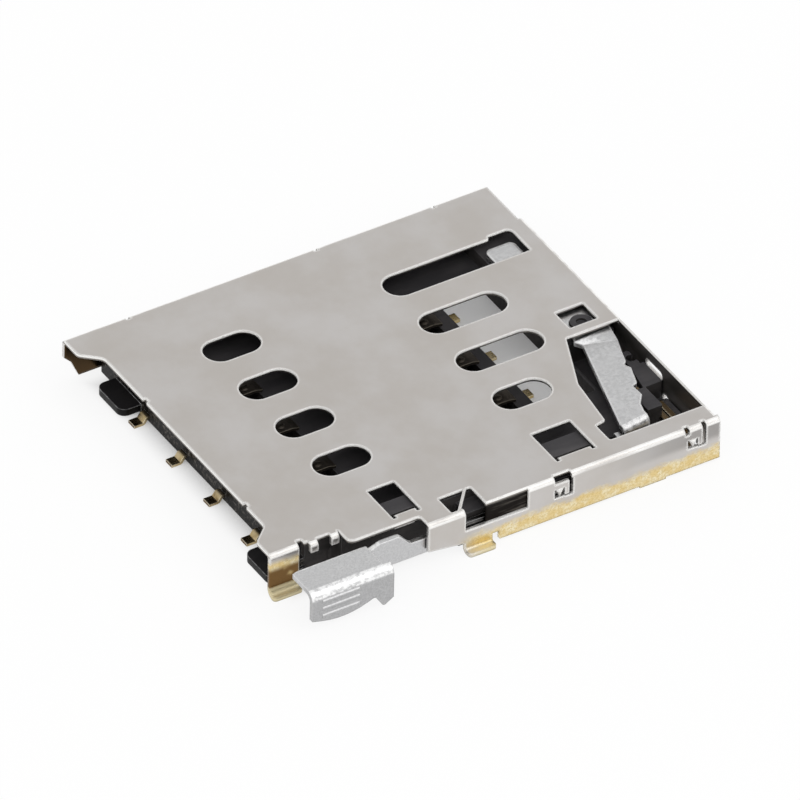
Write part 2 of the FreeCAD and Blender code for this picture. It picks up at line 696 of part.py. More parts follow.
def make_shell():
    """Folded sheet-metal cover."""
    pieces = [top_plate(), back_wall(), front_wall(), right_wall(), left_leg()]
    pieces += [edge_tab(x) for x in TAB_XS]
    shell = joined(pieces)
    cutout = [
        (CUTOUT_LEFT, CUTOUT_Y, CORNER),
        (CUTOUT_STEP, CUTOUT_Y, CORNER),
        (CUTOUT_STEP, FRONT - SHEET, 0),
        (CUTOUT_LEFT + TAB_END, FRONT - SHEET, 0),
        (CUTOUT_LEFT + TAB_END, FRONT + BEND_OUTSIDE, CORNER),
        (CUTOUT_LEFT, FRONT + BEND_OUTSIDE, CORNER),
    ]
    holes = row_windows() + hold_holes()
    holes += [lever_window(), flat(cutout, CUTOUT_Z, HEIGHT + SHEET)]
    shell = shell.cut(holes)
    flaps = [hold_flap(x0, x1, y0) for x0, x1, y0, y1 in hold_limits()]
    return joined([shell, rod_strap()] + flaps)


def contact(dome_x, y, tail_x, tail_y, outward):
    """Lanced spring contact: strap in the carrier, rising arm, dimple, tip, and a solder tail."""
    anchor = dome_x - SPRING_LENGTH
    crest = SPRING_TOP - SPRING_SHEET
    arm = [
        (anchor - ARM_ROOT, STRAP_Z, 0),
        (anchor, STRAP_Z, WIDE_ROUND),
        (dome_x - DIMPLE_RADIUS, crest, WIDE_ROUND),
        (dome_x + DIMPLE_RADIUS, crest, WIDE_ROUND),
        (dome_x + TIP_REACH, SPRING_TOP - TIP_DROP, 0),
    ]
    pieces = [along_y(strip(arm, SPRING_SHEET), y - SPRING_WIDTH / 2, y + SPRING_WIDTH / 2)]
    dimple = Part.makeSphere(DIMPLE_RADIUS, Vector(dome_x, y, SPRING_TOP - DIMPLE_RADIUS))
    keep = box(dome_x - 1, dome_x + 1, y - 1, y + 1, crest, SPRING_TOP + 1)
    pieces.append(dimple.common(keep))
    tail_y0 = tail_y - STRAP_WIDTH / 2
    tail_y1 = tail_y + STRAP_WIDTH / 2
    pieces.append(solder_tail(tail_x, tail_y, ARM_ROOT, outward))
    z0 = STRAP_Z - SPRING_SHEET / 2
    z1 = STRAP_Z + SPRING_SHEET / 2
    if outward < 0:
        root = anchor - STRAP_WIDTH
        strap = [
            (tail_x, tail_y0, 0),
            (root + STRAP_WIDTH, tail_y0, 0),
            (anchor, y + SPRING_WIDTH / 2, 0),
            (root, y + SPRING_WIDTH / 2, SMALL_ROUND),
            (root, tail_y1, SMALL_ROUND),
            (tail_x, tail_y1, 0),
        ]
        pieces.append(flat(strap, z0, z1))
    else:
        frame = box(anchor - ARM_ROOT, tail_x, y - FRAME_WIDTH / 2, y + FRAME_WIDTH / 2, z0, z1)
        gap = well_box(dome_x, y, z0 - 1, z1 + 1)
        pieces.append(frame.cut(gap))
    return joined(pieces)


def solder_tail(x, y, root, outward):
    """Tail that leaves the carrier's face at x, steps down and lies on the board."""
    path = [
        (x - outward * root, STRAP_Z, 0),
        (x + outward * TAIL_KNEE, STRAP_Z, TAIL_BEND),
        (x + outward * 2 * TAIL_KNEE, SPRING_SHEET / 2, TAIL_BEND),
        (x + outward * TAIL_REACH, SPRING_SHEET / 2, 0),
    ]
    return along_y(strip(path, SPRING_SHEET), y - STRAP_WIDTH / 2, y + STRAP_WIDTH / 2)


def well_box(dome_x, y, z0, z1):
    """Space in which a contact's arm flexes."""
    half = SPRING_WIDTH / 2 + WELL_GAP
    return box(dome_x - SPRING_LENGTH, dome_x + WELL_REACH, y - half, y + half, z0, z1)


def make_contacts():
    """Six card contacts: the column near the entry has its tails there, the other in the floor window."""
    contacts = {}
    for i, y in enumerate(CONTACT_YS):
        tail_y = TAIL_ONE_Y - (i + 1) * TAIL_PITCH
        contacts["contact_c%d" % (5 + i)] = contact(LEFT_CAP_X, y, CARRIER_LEFT, tail_y, -1)
        contacts["contact_c%d" % (1 + i)] = contact(RIGHT_CAP_X, y, FLOOR_WINDOW_LEFT, y + FRAME_TAIL, 1)
    return contacts


def switch_piece(nose_out, root_out, strap_out, turn_reach):
    """Switch strip under the lever: upright blade with a curled nose, and a flat strap to its tail."""
    nose = (PIVOT_X - nose_out, PIVOT_Y - NOSE_REACH)
    root = (PIVOT_X - root_out, BLOCK_BACK - ROOT_LENGTH)
    turn = PIVOT_Y - turn_reach
    strap_x = PIVOT_X - strap_out
    blade_path = [
        (nose[0] + NOSE_HOOK[0], nose[1] + NOSE_HOOK[1], 0),
        (nose[0], nose[1], NOSE_BEND),
        (root[0], root[1], ROUND),
        (root[0], turn, 0),
    ]
    blade = flat(strip(blade_path, SPRING_SHEET), SWITCH_LOW, SWITCH_HIGH)
    left = root[0] - SPRING_SHEET / 2
    half = SWITCH_STRAP_WIDTH / 2
    z0 = SWITCH_LOW - SPRING_SHEET
    strap = [
        (left, turn - half, 0),
        (strap_x + half, turn - half, 0),
        (strap_x + half, turn + half, CORNER),
        (left, turn + half, 0),
    ]
    tail = [
        (turn, SWITCH_STRAP_Z, 0),
        (SWITCH_TAIL_END + SWITCH_TAIL_REACH, SWITCH_STRAP_Z, TAIL_BEND),
        (SWITCH_TAIL_END + SWITCH_TAIL_REACH - TAIL_KNEE, SPRING_SHEET / 2, TAIL_BEND),
        (SWITCH_TAIL_END, SPRING_SHEET / 2, 0),
    ]
    run = along_x(strip(tail, SPRING_SHEET), strap_x - half, strap_x + half)
    return joined([blade, flat(strap, z0, SWITCH_LOW), run])


def make_lever():
    """Sheet lever: a kicker arm at the back, an eye on its pivot, a stepped front arm and a bent toe."""
    px, py = PIVOT_X, PIVOT_Y
    left = px - ARM_LEFT
    right = px + ARM_RIGHT
    waist = py + WAIST_REACH
    neck = py + 2 * PIVOT_RADIUS
    rear = [
        (left, py + ARM_REACH, ARM_TIP_RADIUS),
        (left, waist, ROUND),
        (px - EYE_LEFT, neck, ROUND),
        (px - EYE_LEFT, py - PIVOT_RADIUS, MIDDLE_ROUND),
        (px - STEP_HALF, py - STEP_LEFT, 0),
        (px + STEP_HALF, py - STEP_RIGHT, 0),
        (px + EYE_RIGHT, neck, ROUND),
        (right, waist, ROUND),
        (right, py + ARM_REACH, ARM_TIP_RADIUS),
    ]
    crease_left = (px - CREASE_LEFT[0], py - CREASE_LEFT[1])
    crease_right = (px + CREASE_RIGHT[0], py - CREASE_RIGHT[1])
    front = [(crease_left[0], crease_left[1], 0), (*TOE_LEFT, 0), (*TOE_RIGHT, 0)]
    front += [(px + out, py - reach, CORNER) for out, reach in ARM_NOTCHES]
    front.append((crease_right[0], crease_right[1], 0))
    rear_plate = flat(rear, LEVER_LOW, LEVER_TOP)
    front_plate = flat(front, ARM_LOW, ARM_TOP)
    ramp = ramp_between((rear[4], rear[5]), (crease_left, crease_right), LEVER_TOP, ARM_TOP)
    lever = joined([rear_plate, front_plate, ramp, toe()])
    eye = Part.makeCylinder(PIVOT_RADIUS + PIVOT_PLAY, HEIGHT, Vector(px, py, 0))
    return lever.cut(eye)


def ramp_between(high, low, z_high, z_low):
    """Sheet that steps from one edge down to the other, LEVER_SHEET thick."""
    rims = []
    for (left, right), z in ((high, z_high), (low, z_low)):
        points = [Vector(left[0], left[1], z), Vector(right[0], right[1], z)]
        points += [point - UP * LEVER_SHEET for point in points[::-1]]
        rims.append(Part.makePolygon(points + [points[0]]))
    return Part.makeLoft(rims, True, True)


def toe():
    """Bent-down end of the lever's front arm, which the rod's finger pushes."""
    left = Vector(TOE_LEFT[0], TOE_LEFT[1], 0)
    right = Vector(TOE_RIGHT[0], TOE_RIGHT[1], 0)
    width = left.distanceToPoint(right)
    middle = ARM_TOP - LEVER_SHEET / 2
    bend = TOE_BEND + LEVER_SHEET / 2
    path = [
        (TOE_LAP, middle, 0),
        (-bend, middle, bend),
        (-bend, ARM_TOP - TOE_DROP, 0),
    ]
    piece = along_x(strip(path, LEVER_SHEET), 0, width)
    piece.rotate(Vector(0, 0, 0), UP, math.degrees(math.atan2(right.y - left.y, right.x - left.x)))
    piece.translate(left)
    return piece


def make_rod():
    """Push rod: a strip on edge inside the front wall, a ribbed grip at one end, a finger at the other."""
    end = FINGER_X + ROD_SHEET / 2
    root = GRIP_LEFT + GRIP_WEB
    hump = GRIP_RIGHT + HUMP_LENGTH
    blade = [
        (root, ROD_LOW, SMALL_ROUND),
        (end, ROD_LOW, 0),
        (end, ROD_TOP, 0),
        (hump + HUMP_SHOULDER, ROD_TOP, ROUND),
        (hump, HUMP_TOP, ROUND),
        (GRIP_RIGHT + HUMP_START[0], HUMP_TOP, ROUND),
        (GRIP_RIGHT + GRIP_SLIT, HUMP_TOP - HUMP_START[1], CORNER),
        (GRIP_RIGHT + GRIP_SLIT, HUMP_TOP - GRIP_SHOULDER, 0),
        (root, HUMP_TOP - GRIP_SHOULDER, SMALL_ROUND),
    ]
    finger = [
        (FINGER_X - 2 * ROD_SHEET, ROD_MID, 0),
        (end, ROD_MID, GRIP_BEND),
        (end, TOE_LEFT[1], 0),
    ]
    pieces = [
        along_y(blade, ROD_OUT, ROD_IN),
        flat(strip(finger, ROD_SHEET), ROD_LOW, ROD_TOP),
        grip_cap(),
    ]
    rod = joined(pieces)
    return joined([rod] + [grip_rib(GRIP_TOP - drop) for drop in GRIP_RIB_DROPS])


def grip_cap():
    """Sheet cap folded over from the rod: the grip's top and its ribbed face."""
    top = GRIP_TOP - ROD_SHEET / 2
    face = GRIP_FACE + ROD_SHEET / 2
    fold = [
        (ROD_MID, ROD_LOW + ROD_SHEET, 0),
        (ROD_MID, top, GRIP_BACK_BEND),
        (face, top, GRIP_FRONT_BEND),
        (face, 0, 0),
    ]
    cap = along_x(strip(fold, ROD_SHEET), GRIP_LEFT, GRIP_RIGHT + GRIP_HOOK)
    cap = cap.cut(along_y(grip_underside(), GRIP_FACE - 1, ROD_OUT - ROD_GAP))
    relief = box(
        GRIP_RIGHT, GRIP_RIGHT + 1, GRIP_FACE + 2 * SHEET, ROD_IN + 1, GRIP_TOP - 2 * GRIP_BEND, HEIGHT)
    under_corner = box(
        GRIP_LEFT - 1, GRIP_LEFT + GRIP_WEB, ROD_OUT - GRIP_BACK_BEND, ROD_IN + 1, 0, GRIP_TOP - ROD_SHEET)
    across, along = GRIP_CORNER
    clipped = [
        (GRIP_LEFT - across, ROD_IN + along, 0),
        (GRIP_LEFT - across, ROD_IN - 2 * along, 0),
        (GRIP_LEFT + 2 * across, ROD_IN + along, 0),
    ]
    return cap.cut([relief, under_corner, flat(clipped, 0, HEIGHT)])


def grip_underside():
    """Wavy lower edge of the grip's face, with the hooked corner at its right end."""
    hook = GRIP_RIGHT + GRIP_HOOK
    wave = [(hook - inset, GRIP_TOP - drop, radius) for inset, drop, radius in GRIP_WAVE[1:]]
    right_end = (hook + 1, GRIP_TOP - GRIP_WAVE[0][1], 0)
    left_end = (GRIP_LEFT - 1, GRIP_TOP - GRIP_WAVE[-1][1] + GRIP_SHOULDER, 0)
    return [(left_end[0], -1, 0), (right_end[0], -1, 0), right_end] + wave + [left_end]


def grip_rib(z):
    """Low rounded rib across the grip's face."""
    start = Vector(GRIP_LEFT + GRIP_RIB_INSET, GRIP_FACE + GRIP_RIB - GRIP_RIB_PROUD, z)
    return Part.makeCylinder(GRIP_RIB, GRIP_RIB_LENGTH, start, Vector(1, 0, 0))


def make_carrier(inserts):
    """Moulded contact carrier: floor, rails, lever shelf and pivot, with the inserts' spaces cut out."""
    edge = GUIDE_FRONT - RAIL
    floor = [
        (CARRIER_LEFT, CARRIER_BACK, MIDDLE_ROUND),
        (CARRIER_LEFT, edge, 2 * CORNER),
        (STEP_X, edge, 2 * CORNER),
        (STEP_X, RAIL_EDGE, 2 * CORNER),
        (SHORT_WALL_END, RAIL_EDGE, CORNER),
        (SHORT_WALL_END, CARRIER_FRONT, CORNER),
        (CARRIER_RIGHT, CARRIER_FRONT, 2 * CORNER),
        (CARRIER_RIGHT, CARRIER_BACK, MIDDLE_ROUND),
    ]
    rail_left = CARRIER_LEFT + RAIL_START
    rail_right = POCKET_LEFT - RAIL_END_GAP
    shelf_front = PIVOT_Y - SHELF_LIP
    pieces = [
        flat(floor, 0, FLOOR),
        box(rail_left, CARRIER_RIGHT - RAIL_START, GUIDE_BACK, CARRIER_BACK, FLOOR, ROOF),
        box(rail_left, rail_right, edge, GUIDE_FRONT, FLOOR, ROOF),
        box(STEP_X, rail_right, RAIL_EDGE, edge, FLOOR, ROOF),
        box(SHORT_WALL_END + RAIL_START, rail_right, CARRIER_FRONT, edge, FLOOR, ROD_TOP + ROD_SHEET),
        box(CARD_STOP_X, CARRIER_RIGHT, shelf_front, GUIDE_BACK, FLOOR, SHELF),
    ]
    body = joined(pieces).cut(carrier_spaces())
    pin = Part.makeCylinder(PIVOT_RADIUS, ROOF - SHELF, Vector(PIVOT_X, PIVOT_Y, SHELF))
    dimple = Part.makeCylinder(PIVOT_RADIUS / 2, PIN_DIMPLE, Vector(PIVOT_X, PIVOT_Y, ROOF - PIN_DIMPLE))
    body = joined([body, pin.cut(dimple)] + carrier_blocks() + carrier_ears())
    return body.cut(inserts)


def carrier_spaces():
    """Wells, windows and pockets in the carrier."""
    spaces = []
    for y in CONTACT_YS:
        spaces.append(well_box(LEFT_CAP_X, y, WELL_FLOOR, HEIGHT))
        spaces.append(well_box(RIGHT_CAP_X, y, WELL_FLOOR, HEIGHT))
    window_limits = (FLOOR_WINDOW_LEFT, FLOOR_WINDOW_RIGHT, FLOOR_WINDOW_FRONT, FLOOR_WINDOW_BACK)
    spaces.append(plate(*window_limits, 2 * CORNER, -1, HEIGHT))
    edge = TOE_RIGHT[1] + POCKET_LAP
    right = CARRIER_RIGHT + 1
    front = CARRIER_FRONT - 1
    spaces.append(box(POCKET_LEFT, right, front, edge, POCKET_FLOOR, HEIGHT))
    spaces.append(box(CARD_STOP_X, right, edge, PIVOT_Y - SHELF_LIP, POCKET_FLOOR, HEIGHT))
    tail_back = SWITCH_TAIL_END + SWITCH_TAIL_REACH + BED_WEB
    tail_left = PIVOT_X - STRAP_OUTS[0] - SWITCH_STRAP_WIDTH
    spaces.append(box(tail_left, right, front, tail_back, -1, HEIGHT))
    flap_low = UNDER - HOLD_FLAP_DROP - WALL_GAP
    for x0, x1, y0, y1 in hold_limits():
        spaces.append(box(x0, x1, y0 - SHEET, y0 + 2 * SHEET, flap_low, HEIGHT))
    return spaces


def carrier_blocks():
    """Blocks beside the lever: the holder of the switch strips, its bed, and the boss behind."""
    block_front = BLOCK_BACK - BLOCK_LENGTH
    holder = [
        (PIVOT_X - BLOCK_LEFT, block_front, CORNER),
        (PIVOT_X + BLOCK_RIGHT, block_front, CORNER),
        (PIVOT_X + BLOCK_RIGHT, BLOCK_BACK, 0),
        (PIVOT_X, BLOCK_BACK, CORNER),
        (PIVOT_X - BLOCK_LEFT, block_front + BLOCK_LENGTH / 2, CORNER),
    ]
    shoulder = [
        (PIVOT_X + SHOULDER_FRONT, BLOCK_BACK, 0),
        (CARRIER_RIGHT, BLOCK_BACK, CORNER),
        (CARRIER_RIGHT, BLOCK_BACK + SHOULDER_LENGTH, CORNER),
        (PIVOT_X + SHOULDER_BACK, BLOCK_BACK + SHOULDER_LENGTH, SMALL_ROUND),
    ]
    boss_back = BLOCK_BACK + SHOULDER_LENGTH + BOSS_LENGTH
    boss = [
        (PIVOT_X + SHOULDER_BACK, BLOCK_BACK + SHOULDER_LENGTH - CORNER, CORNER),
        (CARRIER_RIGHT - SHEET, BLOCK_BACK + SHOULDER_LENGTH - CORNER, CORNER),
        (CARRIER_RIGHT - SHEET, boss_back, SMALL_ROUND),
        (PIVOT_X + SHOULDER_BACK, boss_back, ROUND),
    ]
    hole_y = BLOCK_BACK + SHOULDER_LENGTH + BOSS_LENGTH / 2
    hole = Part.makeCylinder(BOSS_HOLE, HEIGHT, Vector(PIVOT_X + BOSS_HOLE_OUT, hole_y, SWITCH_LOW))
    bed_left = PIVOT_X + BLOCK_RIGHT - CORNER
    bed_front = SWITCH_TAIL_END + SWITCH_TAIL_REACH + 2 * BED_WEB
    bed_back = PIVOT_Y - TURN_REACHES[1] + SWITCH_STRAP_WIDTH
    return [
        flat(holder, POCKET_FLOOR, BLOCK_TOP),
        flat(shoulder, POCKET_FLOOR, BLOCK_TOP),
        flat(boss, POCKET_FLOOR, BLOCK_TOP).cut(hole),
        box(bed_left, CARRIER_RIGHT, bed_front, bed_back, POCKET_FLOOR, SWITCH_LOW - SPRING_SHEET),
    ]


def carrier_ears():
    """Thin ears at the card entry, under the shell's finger recess."""
    y0 = LEG_Y + SHEET + EAR_GAP
    ears = []
    for reach, start, width in (EAR_BACK, (EAR_FRONT_REACH, y0, EAR_FRONT_WIDTH)):
        x0 = CARRIER_LEFT - reach
        x1 = CARRIER_LEFT + RAIL_START
        end = start + width
        outline_points = [(x0, start, EAR_CORNER), (x1, start, 0), (x1, end, 0), (x0, end, EAR_CORNER)]
        ears.append(flat(outline_points, EAR_LOW, EAR_LOW + EAR_THICKNESS))
    return ears


def main():
    nodes = make_contacts()
    nodes["first_row_tail"] = solder_tail(CARRIER_LEFT, TAIL_ONE_Y, TAIL_ROOT, -1)
    names = ("detect_blade", "detect_terminal")
    for name, *places in zip(names, NOSE_OUTS, ROOT_OUTS, STRAP_OUTS, TURN_REACHES):
        nodes[name] = switch_piece(*places)
    nodes["contact_carrier"] = make_carrier(list(nodes.values()))
    nodes["shell"] = make_shell()
    nodes["push_rod"] = make_rod()
    nodes["eject_lever"] = make_lever()
    os.makedirs("parts", exist_ok=True)
    for name, shape in nodes.items():
        shape.exportStep("parts/%s.step" % name)
        limits = shape.BoundBox
        print("%-16s solids %d valid %s X %.2f..%.2f Y %.2f..%.2f Z %.2f..%.2f" % (
            name, len(shape.Solids), shape.isValid(), limits.XMin, limits.XMax,
            limits.YMin, limits.YMax, limits.ZMin, limits.ZMax))


main()
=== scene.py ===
"""Finishes, stage and camera for the memory card connector.

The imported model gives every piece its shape. This file dresses each piece in a procedural
material, lays a pale floor under it, and sets soft studio light and a long-lens camera.
"""
import json
import math

import bpy
from bpy.props import FloatProperty, FloatVectorProperty, PointerProperty
from mathutils import Matrix, Vector


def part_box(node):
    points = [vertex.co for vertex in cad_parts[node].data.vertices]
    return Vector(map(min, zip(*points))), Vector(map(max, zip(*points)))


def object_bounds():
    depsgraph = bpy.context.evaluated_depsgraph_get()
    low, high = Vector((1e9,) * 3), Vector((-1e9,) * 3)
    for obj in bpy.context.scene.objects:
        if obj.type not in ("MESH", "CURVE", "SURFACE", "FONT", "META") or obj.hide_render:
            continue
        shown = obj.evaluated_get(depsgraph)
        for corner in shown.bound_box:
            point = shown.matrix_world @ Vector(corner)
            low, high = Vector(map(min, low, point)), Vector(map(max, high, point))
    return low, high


bl_info = {
    "name": "Memory Card Connector",
    "version": (1, 0, 0),
    "blender": (4, 5, 0),
    "location": "View3D > Sidebar > Connector",
    "description": "Dresses a board-mount card connector and builds its stage",
    "category": "Object",
}

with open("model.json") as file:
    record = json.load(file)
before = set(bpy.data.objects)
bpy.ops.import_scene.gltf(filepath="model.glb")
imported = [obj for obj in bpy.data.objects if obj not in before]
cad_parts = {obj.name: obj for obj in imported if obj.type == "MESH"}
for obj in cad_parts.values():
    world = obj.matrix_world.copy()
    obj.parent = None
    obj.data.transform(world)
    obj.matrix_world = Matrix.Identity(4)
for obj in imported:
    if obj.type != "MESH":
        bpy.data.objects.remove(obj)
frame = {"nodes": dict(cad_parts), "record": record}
CAD_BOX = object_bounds()
MM = 0.001

# Textures: size of the blobs, detail, roughness, and the stretch of x, y and z where drawn out.
SHELL_SMUDGES = (2.4 * MM, 4.0, 0.6)
SHELL_GRAIN = (0.05 * MM, 2.0)
SHELL_DRAWN_LINES = (0.22 * MM, 3.0, 0.6, (0.22, 1, 1))
SHELL_WAVES = (3.5 * MM, 2.0)
GOLD_BAND_EDGE = (0.35 * MM, 3.0, 0.7, (0.6, 1, 1))
STRIP_ROLLING_LINES = (0.07 * MM, 3.0, 0.6, (0.15, 1, 1))

# Patterns: a texture, and the values of it at which the pattern begins and is full, with its
# strength at both where that isn't 0 and 1.
# Streaks of the highlight painted on the shell's bends.
SHELL_BEND_HIGHLIGHT_STREAKS = (0.30 * MM, 3.0, 0.6, (0.18, 1, 1)), (0.30, 0.55, 0.30, 0.95)
GOLD_THIN_PATCHES = (0.5 * MM, 4.0, 0.65), (0.40, 0.66)
GOLD_FLECKS = (0.11 * MM, 3.0, 0.65), (0.44, 0.62, 0.0, 0.55)
# Blotches of brown reflection painted on the leg.
LEG_REFLECTION_BLOTCHES = (0.9 * MM, 2.0), (0.24, 0.42)
SLOT_GLEAM = (0.13 * MM, 3.0, 0.6, (0.08, 1, 1)), (0.50, 0.70, 0.0, 0.30)
# Streaks in the shade painted on the rod's strip in the cut-out.
ROD_SLOT_SHADE_STREAKS = (0.11 * MM, 3.0, 0.6, (0.10, 1, 1)), (0.46, 0.66, 1.0, 0.55)
# Rags of highlight painted on the sheet's bends.
SHEET_BEND_HIGHLIGHT_RAGS = (0.16 * MM, 3.0, 0.65), (0.36, 0.58, 0.15, 0.95)
STRIP_TINTS = (0.6 * MM, 3.0), (0.35, 0.7)
TAIL_DULLING = (0.35 * MM, 3.0), (0.30, 0.62, 0.90, 0.50)
CARRIER_FLOW = (0.9 * MM, 3.0, 0.6, (0.3, 1, 1)), (0.35, 0.75)
# Speckles of highlight painted on the entry wall.
CARRIER_GLINT_SPECKLES = (0.13 * MM, 4.0, 0.7), (0.50, 0.68, 0.0, 0.55)
# White glints painted along the edges at the entry.
CARRIER_EDGE_GLINTS = (0.25 * MM, 4.0, 0.7), (0.42, 0.66, 0.12, 0.75)
FLOOR_GRAIN = (0.4 * MM, 2.0), (0.3, 0.7, 0.0, 0.03)

# Directions of a surface, as parts of its normal: where a mask begins and where it is full.
SHELL_UPRIGHT = (0.30, 0.15)
SHEET_UPRIGHT = (0.5, 0.2)
CARRIER_UPRIGHT = (0.5, 0.2)
FACES_FRONT = (-0.6, -0.9)
FACES_ENTRY = (-0.8, -0.95)
BEND_FROM_UPRIGHT = (0.10, 0.30)
BEND_FROM_LEVEL = (0.985, 0.93)
# Lean of the normal where a duller line splits the bends' painted highlight.
BEND_MIDDLE = 0.62
BEND_HIGHLIGHT_SPLIT = (0.07, 0.13, 0.35, 1.0)
EDGE_TURN = (0.999, 0.92)
# Occlusion between which the shade painted in corners fades from darkest to none.
CREVICE_SHADE_STEPS = (0.15, 0.70)

# Places where a finish, or painted shade, highlight and reflection, gives way to the next, in
# millimetres: the first end has none of it and the second end all of it.
FRONT_WALL_Y = (-7.62, -7.70)
BEYOND_ROD_X = (-2.3, -0.9)
GOLD_BAND_FADE = (0.20, -0.16)
LEG_X = (-7.80, -7.90)
LEG_Y = (-6.20, -6.34)
LEG_GOLD_Z = (1.66, 1.36)
# Heights between which brown reflection is painted on the leg.
LEG_REFLECTION_TOP_Z = (1.36, 1.05)
LEG_REFLECTION_FOOT_Z = (0.20, 0.36)
BACK_WALL_Y = (7.6, 7.7)
BACK_GOLD_Z = (1.78, 1.70)
FOOT_Y = (-7.93, -7.98)
FOOT_Z = (0.46, 0.36)
# Cut faces of the windows: the upper band gets a painted highlight, the band below painted shade.
CUT_FACE_Z = (1.735, 1.765)
LIT_CUT_FACE_Z = (1.79, 1.83)
# Skin at the back of the rod's slot, painted dark as shade.
SLOT_LEFT_X = (-1.20, -1.00)
SLOT_RIGHT_X = (0.99, 0.95)
SLOT_FRONT_Y = (-7.86, -7.83)
SLOT_BACK_Y = (-7.762, -7.772)
SLOT_LOW_Z = (0.99, 1.02)
SLOT_HIGH_Z = (1.78, 1.73)
WALL_SHADE_Z = (0.85, 1.35)
WALL_SHADE_X = (3.5, 8.4)
GRIP_SIDE_Y = (-8.60, -8.40)
GRIP_RIBS_Y = (-9.09, -9.11)
GRIP_RIBS_Z = (1.48, 1.40)
ROD_SLOT_LEFT_X = (-2.15, -1.95)
ROD_SLOT_RIGHT_X = (1.50, 1.30)
ROD_STRIP_Y = (-7.45, -7.60)
TAIL_X = (-7.6, -7.9)
TAIL_END_X = (-8.1, -8.2)
WELL_LEFT_X = (-7.9, -7.6)
WELL_RIGHT_X = (4.50, 4.40)
ENTRY_X = (-7.25, -7.45)
ENTRY_WALL_X = (-7.70, -7.64)
ENTRY_WALL_Z = (0.05, 0.50)

# Colours.
PALE_GOLD = (0.86, 0.77, 0.53)
FLECK_GOLD = (0.63, 0.46, 0.17)
# Pale gold of the feet, partly a paler plating and partly a highlight painted on the leg's foot.
FOOT_GOLD_AND_HIGHLIGHT = (0.74, 0.66, 0.43)
# Brown reflection painted on the leg, and shade painted inside the back wall.
LEG_BROWN_REFLECTION = (0.17, 0.095, 0.034)
BACK_WALL_SHADE = (0.060, 0.036, 0.016)
# Shade painted on the lower band of the windows' cut faces.
CUT_FACE_SHADE = (0.20, 0.175, 0.15)
# Shade painted on the slot's skin, with paler painted glints.
SLOT_SHADE = (0.010, 0.008, 0.007)
SLOT_GLINT = (0.26, 0.24, 0.21)
# Shade painted on the rod's strip in the cut-out.
ROD_SLOT_SHADE = (0.020, 0.018, 0.017)
# Highlight painted on the sheet's rims and bends.
SHEET_RIM_HIGHLIGHT = (0.96, 0.96, 0.96)
STRIP_PALE = (0.88, 0.74, 0.48)
STRIP_TARNISH = (0.10, 0.065, 0.035)
STRIP_DULL = (0.15, 0.10, 0.050)
STRIP_SHEARED = (0.12, 0.070, 0.030)
# Shade painted on the strip down in the wells.
STRIP_WELL_SHADE = (0.075, 0.066, 0.062)
# Highlight painted on the strip's rims.
STRIP_RIM_HIGHLIGHT = (0.97, 0.90, 0.72)
# Light painted on the carrier's faces that look up.
CARRIER_LIT_TOP = (0.088, 0.086, 0.096)
# Highlight painted in speckles on the entry wall.
CARRIER_GLINT = (0.25, 0.225, 0.20)
# Highlights painted on the carrier's edges, with white glints at the entry.
CARRIER_RIM_HIGHLIGHT = (0.10, 0.10, 0.105)
CARRIER_GLINT_WHITE = (0.75, 0.75, 0.76)
FLOOR_SHADE = (0.92, 0.92, 0.92)
WHITE = (1.0, 1.0, 1.0)

# Shell: the plating's wear and the gold band's raggedness, how strongly the masks show, among
# them painted shade and highlights, the reach and the darkest tone of the shade painted in the
# crevices, what each finish adds to or takes off the roughness, and the height and strength of
# each bump.
WORN_NICKEL = (0.90, 0.88, 0.85)
SMUDGE_STEPS = (0.30, 0.75)
GOLD_RAGGEDNESS = 0.60 * MM
FOOT_PALENESS_AND_HIGHLIGHT = 0.80
CUT_FACE_SHADE_STRENGTH = 0.8
WALL_SHADE = 0.62
SHELL_CREVICE_SHADE = (0.30 * MM, 0.40)
RIM_SATIN = 0.80
FOOT_SATIN = 0.45
NICKEL_POLISH = 0.05
SMUDGE_ROUGHNESS = 0.12
GOLD_POLISH = 0.12
FOOT_ROUGHNESS = 0.14
RIM_POLISH = 0.10
DRAWN_LINES_SHARE = 0.5
GRAIN_SHARE = 0.6
SHELL_FINE_BUMP = (0.004 * MM, 0.35)
SHELL_WAVE_BUMP = (0.018 * MM, 0.6)

# Sheet of the rod and the lever: the pits' detail and tints, the clouds, the shade painted on the
# upright faces on the grip's outer side and elsewhere, the shade painted in the crevices, and how
# strongly the painted rim highlights and the bumps show.
PIT_TEXTURE = (4.0, 0.65)
PIT_TINTS = (0.88, 1.12)
PIT_STEPS = (0.34, 0.66)
CLOUD_SCALE = 6
CLOUD_STEPS = (0.35, 0.7, 0.0, 0.5)
SIDE_SHADES = (0.74, 0.92)
SHEET_CREVICE_SHADE = (0.25 * MM, 0.80)
RIM_LOST_IN_SLOT = 0.6
RIM_LOST_ON_RIBS = 0.85
SHEET_RIM_SATIN = 0.60
PIT_ROUGHNESS = 0.14
SHEET_BUMP = 0.5

# Finish of the rod and of the lever: pit size, pit depth, roughness, and the width and strength of
# the highlight painted on the rims.
ROD_SHEET = (0.07 * MM, 0.002 * MM, 0.24, 0.08 * MM, 0.50)
LEVER_SHEET = (0.13 * MM, 0.005 * MM, 0.27, 0.13 * MM, 1.0)

# Gold strip: how strongly shade is painted on it in the wells, how much of the painted rim
# highlight is lost there, its roughness with what the lines and the wells add to it, and its bump.
WELL_SHADE_STRENGTH = 0.96
RIM_LOST_IN_WELL = 0.85
STRIP_RIM_HIGHLIGHT_STRENGTH = 0.75
STRIP_ROUGHNESS = 0.20
LINES_ROUGHNESS = 0.14
WELL_ROUGHNESS = 0.22
STRIP_BUMP = (0.004 * MM, 0.4)

# Finish of the contacts and of the detect switch: tarnish and the width of the highlight painted
# on the rims.
CONTACT_STRIP = (0.0, 0.035 * MM)
SWITCH_STRIP = (0.94, 0.075 * MM)

